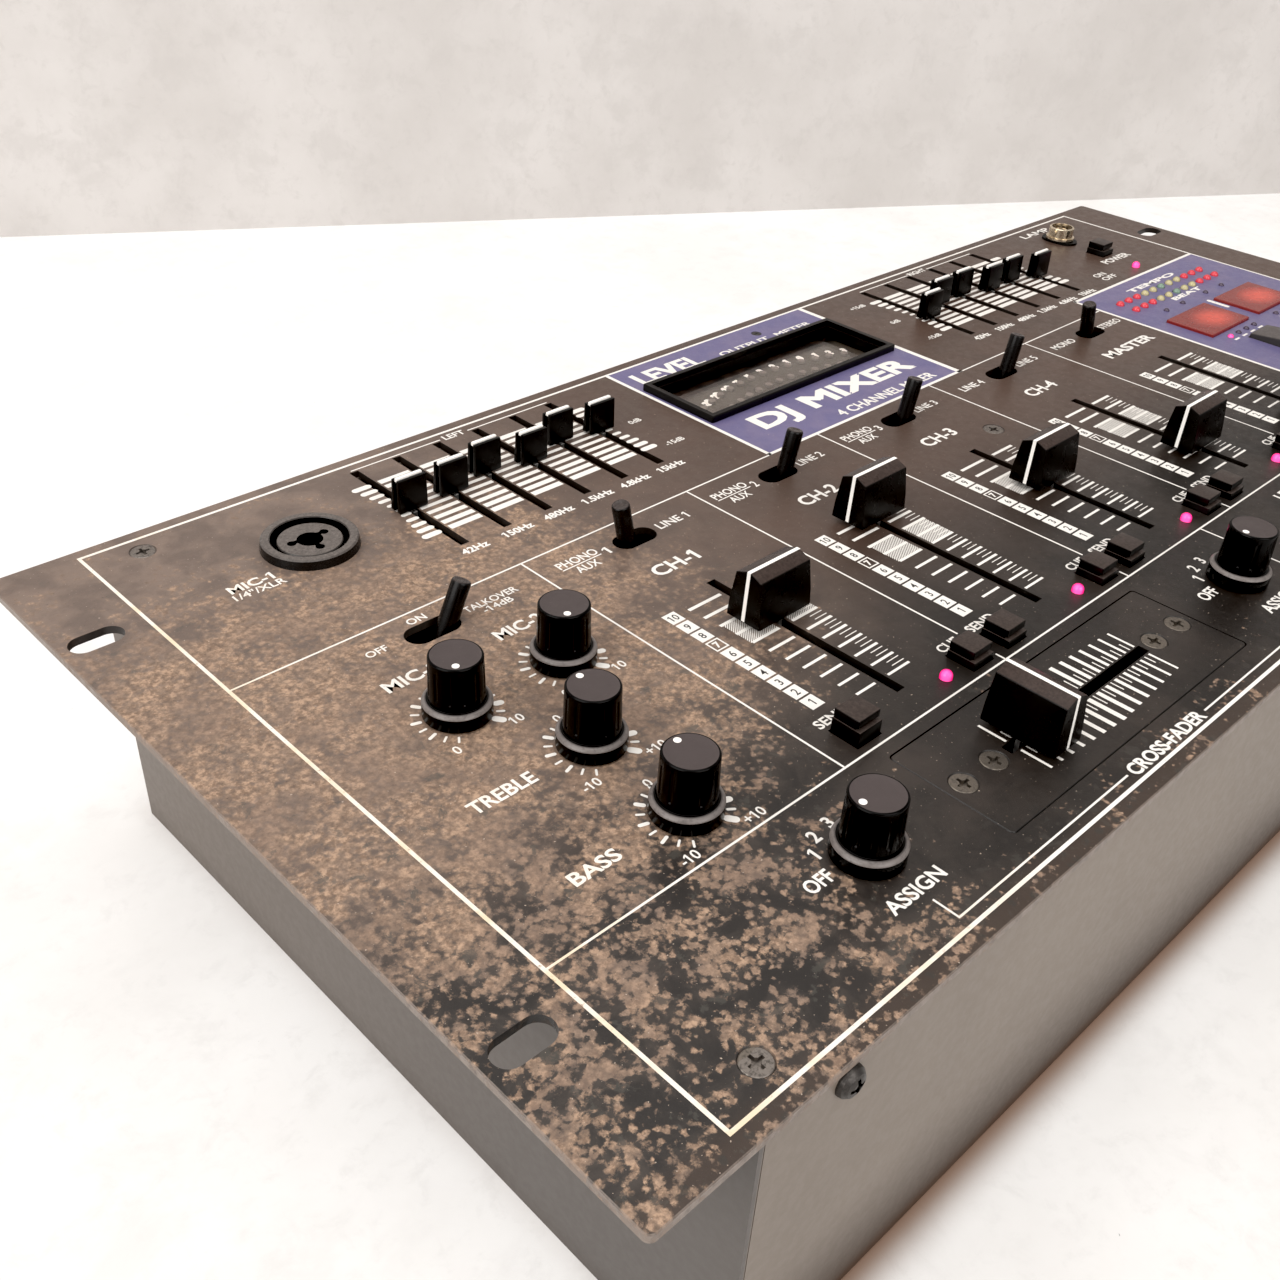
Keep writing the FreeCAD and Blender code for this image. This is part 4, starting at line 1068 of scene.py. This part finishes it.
def fader_cap(name, cx, cy, turned=False):
    """wedge cap with a white line over the ridge and down both ends, on a flat steel lever"""
    mesh = bmesh.new()

    def vert(x, y, z):
        if turned:
            x, y = -y, x
        return mesh.verts.new(P(cx + x, cy + y, z))

    def end_x(z):
        return CAP_HALF - CAP_END_LEAN * (z - CAP_FOOT) / (CAP_RIDGE - CAP_FOOT)

    left, right = [[vert(sign * end_x(z), y, z) for y, z in CAP_SECTION] for sign in (-1, 1)]
    faces = [mesh.faces.new(left), mesh.faces.new(right[::-1])]
    for i in range(len(CAP_SECTION)):
        j = (i + 1) % len(CAP_SECTION)
        faces.append(mesh.faces.new((left[j], left[i], right[i], right[j])))

    def edge_z(edge):
        return (edge.verts[0].co.z + edge.verts[1].co.z) / 2 * 1000 - PANEL_TOP

    # the crease in the flanks stays unrounded
    edges = [edge for edge in {edge for face in faces for edge in face.edges}
             if abs(edge_z(edge) - CAP_CREASE) >= 0.01]
    bmesh.ops.bevel(mesh, geom=edges, offset=0.00030, segments=3, profile=0.6, affect="EDGES",
                    clamp_overlap=True)

    # inlaid line: one ribbon over the top and down both ends
    low = CAP_FOOT + 0.35
    loops = []
    for out, z in ((0.035, CAP_RIDGE + 0.045), (-0.5, CAP_RIDGE - 0.5)):
        loops.append([(-(end_x(low) + out), low), (-(end_x(z) + out), z),
                      (end_x(z) + out, z), (end_x(low) + out, low)])
    ribbon = loops[0] + loops[1][::-1]
    front, back = [[vert(x, y, z) for x, z in ribbon] for y in (-0.5, 0.5)]
    for quad in ((0, 1, 6, 7), (1, 2, 5, 6), (2, 3, 4, 5)):
        mesh.faces.new([front[i] for i in quad]).material_index = 1
        mesh.faces.new([back[i] for i in quad[::-1]]).material_index = 1
    for i in range(len(ribbon)):
        j = (i + 1) % len(ribbon)
        mesh.faces.new((front[i], back[i], back[j], front[j])).material_index = 1

    # lever: half length, z0, z1
    for half, z0, z1 in ((4.0, -9.0, 0.9), (1.5, 0.8, 5.0)):
        half_x, half_y = (half, 0.6) if turned else (0.6, half)
        boxes(mesh, cx, cy, 0.0, [(half_x, -half_y, half_y, z0, z1, 0.08, 1, 2)])
    moving_part(name, "_cap_and_lever", mesh, ["cap", "white", "steel"], 28)


FADER_NAMES = ["fader_ch%d" % (i + 1) for i in range(CHANNELS)] + ["fader_master"]
for name, x, y in zip(FADER_NAMES, FADER_X, FADER_REST):
    fader_cap(name, x, y)
fader_cap("crossfader", 138.6, 27.8, turned=True)

# ------------------------------------------------------------------ equaliser sliders
# columns as in boxes(); slots: 0 cap, 1 white index, 2 steel lever
EQ_BOXES = (
    (4.42, -1.9, -0.6, 0.45, 9.65, 0.22, 2, 0, 0.10, 0.08),     # flat front plate
    (3.65, -0.75, 1.0, 0.9, 9.3, 0.12, 1, 0, 0.10, 0.0),        # web
    (4.2, 0.75, 2.1, 2.2, 9.2, 0.22, 2, 0, 0.15, 0.15),         # back plate
    (4.42, 0.6, 2.35, 0.45, 2.9, 0.35, 3, 0, 0.12, 0.12),       # flared foot
    (4.0, -0.52, 0.62, 8.9, 9.98, 0.18, 2, 1, 0.04, 0.06),      # raised index
    (0.6, -2.4, 2.6, -7.0, 0.0, 0.06, 1, 2),                    # lever
    (0.6, -0.6, 0.8, -0.1, 4.0, 0.06, 1, 2),                    # lever tip
)
for side, (first_x, rests) in EQ_REST.items():
    for i, y in enumerate(rests):
        mesh = bmesh.new()
        boxes(mesh, first_x + EQ_PITCH * i, y, 0.0, EQ_BOXES)
        moving_part("%s_eq_slider_%d" % (side, i + 1), "_cap_and_lever", mesh,
                    ["slider", "white", "steel"], 28)

# ------------------------------------------------------------------ toggles
# name, x, pivot z, lean towards +x in degrees, length
TOGGLES = (
    ("input_toggle_ch1", FADER_X[0], -12.0, -13.2, 24.4),
    ("input_toggle_ch2", FADER_X[1], -12.0, 13.2, 24.4),
    ("input_toggle_ch3", FADER_X[2], -12.0, 13.2, 24.4),
    ("input_toggle_ch4", FADER_X[3], -12.0, 13.2, 24.4),
    ("mono_stereo_toggle", FADER_X[4], -12.0, -13.2, 24.4),
    ("talkover_toggle", 67.25, -9.0, 25.0, 20.7),
)
for name, x, pivot_z, lean, length in TOGGLES:
    mesh = bmesh.new()
    profile = [(0, -2.2), (1.6, -2.2), (2.0, -1.8), (2.2, -1.2), (2.2, 3.0), (2.3, 4.6),
               (2.38, 6.0)]
    # radius, distance below the tip
    profile += [(radius, length - below) for radius, below in (
        (2.35, 6), (2.34, 0.75), (2.26, 0.35), (2.08, 0.08), (1.85, 0), (1.6, 0.06),
        (1.2, 0.24), (0.6, 0.34), (0, 0.36))]
    tilt = Matrix.Rotation(math.radians(lean), 4, "Y")
    place = Matrix.Translation(P(x, TOGGLE_Y, pivot_z)) @ tilt @ Matrix.Translation(-P(0, 0))
    lathe(mesh, 0, 0, profile, seg=48, transform=place)
    moving_part(name, "_lever", mesh, ["toggle"], 40)

# ------------------------------------------------------------------ buttons
# columns as in boxes(), z from the button's top
BUTTON_BOXES = (
    (3.75, -3.75, 3.75, -11.2, -2.5, 0.22, 2),      # body
    (3.45, -2.25, 3.60, -2.7, -1.8, 0.05, 1),       # neck
    (3.55, -3.00, 3.65, -2.0, 0.0, 0.26, 3),        # cap
    (1.6, -1.6, 1.6, -16.0, -11.0, 0.1, 1),         # stem
)
TAP_STEM = (1.6, -1.6, 1.6, -11.0, -5.9, 0.1, 1)
# name, x, y, top
BUTTONS = [("send_button_%d" % (i + 1), 111.3 + SEND_PITCH * i, BUTTON_Y, top)
           for i, top in enumerate((6.2, 4.3, 4.3, 4.3))]
BUTTONS += [("cue_button_%d" % (i + 1), 152.9 + FADER_PITCH * i, BUTTON_Y, 4.3)
            for i in range(CHANNELS)]
BUTTONS += [("power_button", 431.5, 182.6, 4.6)]
for name, x, y, top in BUTTONS:
    mesh = bmesh.new()
    boxes(mesh, x, y, top, BUTTON_BOXES)
    moving_part(name, "_cap", mesh, ["button"], 30)

# tap pads, sloping down to the back
for name, x, y in (("tap_button_left", 401.0, 92.6), ("tap_button_right", 437.0, 92.6)):
    mesh = bmesh.new()
    corners = [(x + dx, y + dy, z) for front_z, back_z in ((-6.0, -6.0), (3.4, 1.5))
               for dx, dy, z in ((-6.5, -8.8, front_z), (6.5, -8.8, front_z),
                                 (6.5, 8.8, back_z), (-6.5, 8.8, back_z))]
    hexahedron(mesh, corners, radius=0.5, segments=4, profile=0.55, clamp=False)
    boxes(mesh, x, y, 0.0, [TAP_STEM])
    moving_part(name, "_pad", mesh, ["pad"], 30)


# ------------------------------------------------------------------ round lamps
def lamp(mesh, x, y, radius, top):
    """short cylinder with a domed top"""
    dome = radius * 0.95
    profile = [(0, -5.0), (radius, -5.0), (radius, top - dome)]
    for k in range(1, 8):
        angle = math.pi / 2 * k / 8
        profile.append((radius * math.cos(angle), top - dome + dome * math.sin(angle)))
    profile.append((0, top))
    lathe(mesh, x, y, profile, seg=28)


# material: lamps as x, y, radius, top
LAMPS = {"lit": [(142.2 + 55.2 * i, 51.4, 1.5, 2.0) for i in range(CHANNELS)],
         "led_red": [], "led_yellow": [], "led_green": [], "led_dark": []}
LAMPS["lit"] += [(428.9, 164.9, 1.5, 2.0), (389.5, 105.8, 1.0, 0.9)]
for y in (146.8, 140.3):
    for i in range(11):
        key = "led_red" if i < 3 or i > 7 else ("led_green" if i == 5 else "led_yellow")
        LAMPS[key].append((385.2 + 6.05 * i, y, 1.5, 1.5))
LAMPS["led_dark"] += [(x, 133.0, 1.0, 0.9) for x in (394.2, 406.4, 424.2, 436.9)]
LAMPS["led_dark"] += [(389.5 + 6 * i, 105.8, 1.0, 0.9) for i in range(1, 4)]
LAMPS["led_dark"] += [(425.3 + 6 * i, 105.8, 1.0, 0.9) for i in range(4)]
for key, places in LAMPS.items():
    mesh = bmesh.new()
    for place in places:
        lamp(mesh, *place)
    made = new_object("lamps_" + key, mesh, [key], ROOT, smooth=50)
    if key == "lit":
        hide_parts("indicator_leds")

# ------------------------------------------------------------------ bright rail in each slot
mesh = bmesh.new()
for x in FADER_X:
    rect(mesh, x + 1.08, x + 1.38, 55.6, 112.6, -2.45, -2.06)
for first_x in (EQ_LEFT, EQ_RIGHT):
    for i in range(6):
        x = first_x + EQ_PITCH * i
        rect(mesh, x - 0.92, x - 0.76, 165.6, 212.8, -2.5, -2.1)
new_object("slot_rails", mesh, ["rail"], ROOT)

# ------------------------------------------------------------------ meter scale
# numeral, x, y
METER_SCALE = (
    ("-30", 209.5, 188.4), ("20", 216.0, 190.6), ("10", 222.4, 192.0), ("7", 228.6, 193.0),
    ("5", 234.8, 193.9), ("3", 241.0, 194.3), ("2", 247.3, 194.4), ("1", 253.5, 194.2),
    ("0", 259.6, 193.4), ("1", 265.6, 191.9), ("2", 271.2, 190.3), ("3", 276.6, 188.4),
)
mesh = bmesh.new()
for i, (string, x, y) in enumerate(METER_SCALE):
    for k, (dx, dy) in enumerate(corner_shifts(0.17, 0.12)):
        centred_text(mesh, string, x + dx, y + 0.5 + dy, 2.9, bottom=-4.52,
                     top=-4.38 + 0.004 * k, bold=EXTRA_BOLD, turn=math.radians((5.5 - i) * 4.4))
new_object("meter_scale", mesh, ["scale_white"], ROOT)

# ------------------------------------------------------------------ pieces kept from the CAD
# node: its materials
CAD_MATERIALS = {
    "top_panel": ["panel"],
    "crossfader_plate": ["xf_panel"],
    "chassis_tray": ["case"],
    "side_plates": ["case"],
    "panel_screws": ["screw_old", "screw_black", "screw"],
    "case_screws": ["screw"],
    "mic_combo_jack": ["jack"],
    "meter_bezel": ["bezel"],
    "meter_window": ["window"],
    "meter_board": ["pcb"],
    "tempo_display_lenses": ["lens"],
    "lamp_socket": ["brass"],
    "headphone_jack": ["jack"],
    "control_bodies": ["inner"],
    "main_pcb": ["mainboard"],
    "power_supply": ["steel"],
    "rear_connectors": ["jack"],
}
for node, keys in CAD_MATERIALS.items():
    data = NODES[node].data
    data.materials.clear()
    for key in keys:
        data.materials.append(MAT[key])
    shade(data, 20 if node in ("top_panel", "crossfader_plate") else 30)
# one dark screw at the back, blackened ones along the front
for face in NODES["panel_screws"].data.polygons:
    x, y = face.center.x * 1000 + ORIGIN_X, face.center.y * 1000 + ORIGIN_Y
    dark = 253.0 < x < 261.0 and y > 205.0
    face.material_index = 2 if dark else (1 if 12.0 < y < 45.0 else 0)


# ------------------------------------------------------------------ floor and backdrop
def contact_shade(mat, color, glow):
    """darken the floor round the case, most of all in front; gives colour, emission, glow"""
    x, y = mat.x, mat.y
    beside = (23.9 - x).max(x - 458.7)
    near = beside.max((0.5 - y).max(y - 214.5)).fall(-0.5, 13.0)
    in_front = (0.5 - y) > beside
    near = near * near * in_front.lerp(0.22, 0.92)
    near = near * beside.remap((-5.0, 7.0), (1.0, 0.20))
    shaded = near.mix(color, (0.16, 0.085, 0.045))
    emission = near.mix(color, (0.05, 0.022, 0.010))
    # painted light: the glow is raised beside the left side and front left corner to lift the
    # shadow there, and fades towards the camera as painted falloff
    lift = x.rise(-60.0, 22.0, 0.34) * y.rise(-60.0, 30.0)
    return shaded, emission, (y.remap((-420.0, 40.0), (0.74, 1.0)) + lift) * glow


def stage_surface(name, dark, light, rough, specks=0.0, glow=0.0, contact=False):
    mat = Shader(name)
    fine = mat.noise(0.12, detail=7, rough=0.72, warp=0.4)
    blots = mat.noise(0.035, detail=6, rough=0.68, warp=0.3, offset=(9.0, 4.0, 0.0))
    color = mat.noise(0.011, detail=6, rough=0.62).rise(0.32, 0.68).mix(dark, light)
    color = (fine.rise(0.50, 0.70) * 0.45).mix(color, scaled(dark, 0.91))
    color = (blots.rise(0.50, 0.66) * 0.45).mix(color, scaled(dark, 0.93))
    if specks:
        dots = mat.noise(0.33, rough=0.6, offset=(8.0, 1.0, 0.0)).rise(0.765, 0.79)
        color = (dots * specks).mix(color, scaled(dark, 0.35))
    emission = color
    if contact:
        color, emission, glow = contact_shade(mat, color, glow)
    mat.bump(fine + blots, strength=0.12, depth=0.6)
    return mat.finish(color=color, rough=rough, spec=0.2, emit=emission, glow=glow)


def plane(name, corners, material):
    data = bpy.data.meshes.new(name)
    data.from_pydata([tuple(corner) for corner in corners], [], [(0, 1, 2, 3)])
    data.materials.append(material)
    made = bpy.data.objects.new(name, data)
    bpy.context.scene.collection.objects.link(made)


# two points on the foot of the backdrop give its line
WALL_LEFT, WALL_RIGHT = Vector((184.2, 689.5)), Vector((882.8, 288.3))
WALL_OVERRUN, WALL_HEIGHT, FLOOR_DEPTH = 2500, 2500, 4500
wall_along = (WALL_RIGHT - WALL_LEFT).normalized()
wall_behind = Vector((-wall_along.y, wall_along.x))
wall_start = WALL_LEFT - wall_along * WALL_OVERRUN
wall_end = WALL_RIGHT + wall_along * WALL_OVERRUN


def stage_corner(point, forward=0, rise=0):
    return P(point.x - wall_behind.x * forward, point.y - wall_behind.y * forward, FLOOR_Z + rise)


plane("floor", [stage_corner(wall_start), stage_corner(wall_start, forward=FLOOR_DEPTH),
                stage_corner(wall_end, forward=FLOOR_DEPTH), stage_corner(wall_end)],
      stage_surface("floor_plain", (0.468, 0.455, 0.443), (0.508, 0.497, 0.487), rough=0.6,
                    specks=0.8, glow=0.68, contact=True))
plane("backdrop", [stage_corner(wall_start), stage_corner(wall_end),
                   stage_corner(wall_end, rise=WALL_HEIGHT),
                   stage_corner(wall_start, rise=WALL_HEIGHT)],
      stage_surface("backdrop_plain", (0.522, 0.494, 0.475), (0.588, 0.560, 0.543), rough=0.7))

# ------------------------------------------------------------------ light and camera
scene = bpy.context.scene
world = bpy.data.worlds.new("studio")
scene.world = world
world.use_nodes = True
background = world.node_tree.nodes["Background"]
background.inputs["Color"].default_value = (1.0, 0.985, 0.965, 1)
background.inputs["Strength"].default_value = 0.62


def softbox(name, location, target, size, power, color):
    """square area light aimed at a target, in metres and watts"""
    light = bpy.data.lights.new(name, "AREA")
    light.energy = power
    light.color = color
    light.shape = "RECTANGLE"
    light.size = size
    light.size_y = size
    made = bpy.data.objects.new(name, light)
    scene.collection.objects.link(made)
    made.location = location
    made.rotation_mode = "QUATERNION"
    made.rotation_quaternion = (Vector(target) - Vector(location)).to_track_quat("-Z", "Y")


softbox("softbox_top", (-0.15, 0.25, 1.45), target=(0.0, 0.0, 0.0), size=1.4, power=13.0,
        color=(1.0, 0.985, 0.965))
softbox("softbox_left", (-1.35, 0.05, 0.85), target=(-0.15, 0.0, 0.0), size=1.1, power=15.0,
        color=(1.0, 0.985, 0.965))
softbox("softbox_front", (-0.15, -1.35, 0.85), target=(0.0, -0.1, 0.0), size=1.1, power=12.0,
        color=(1.0, 0.975, 0.95))

lens = bpy.data.cameras.new("camera")
lens.sensor_width = 36.0
lens.sensor_fit = "HORIZONTAL"
lens.lens = 38.1729375
lens.clip_start = 0.01
lens.clip_end = 20
camera = bpy.data.objects.new("camera", lens)
scene.collection.objects.link(camera)
look = Vector((0.58798, 0.57330, -0.57062)).normalized()
up = Vector((0.37001, 0.43669, 0.82000)).normalized()
right = look.cross(up).normalized()
up = right.cross(look).normalized()
turn = Matrix((right, up, -look)).transposed()
camera.matrix_world = Matrix.Translation(P(-81.03, -70.80, 175.95)) @ turn.to_4x4()
scene.camera = camera

view = scene.view_settings
view.view_transform = "Standard"
view.exposure = 0.0
view.use_curve_mapping = True
view.curve_mapping.black_level = (0.0060, 0.0060, 0.0060)
view.curve_mapping.update()
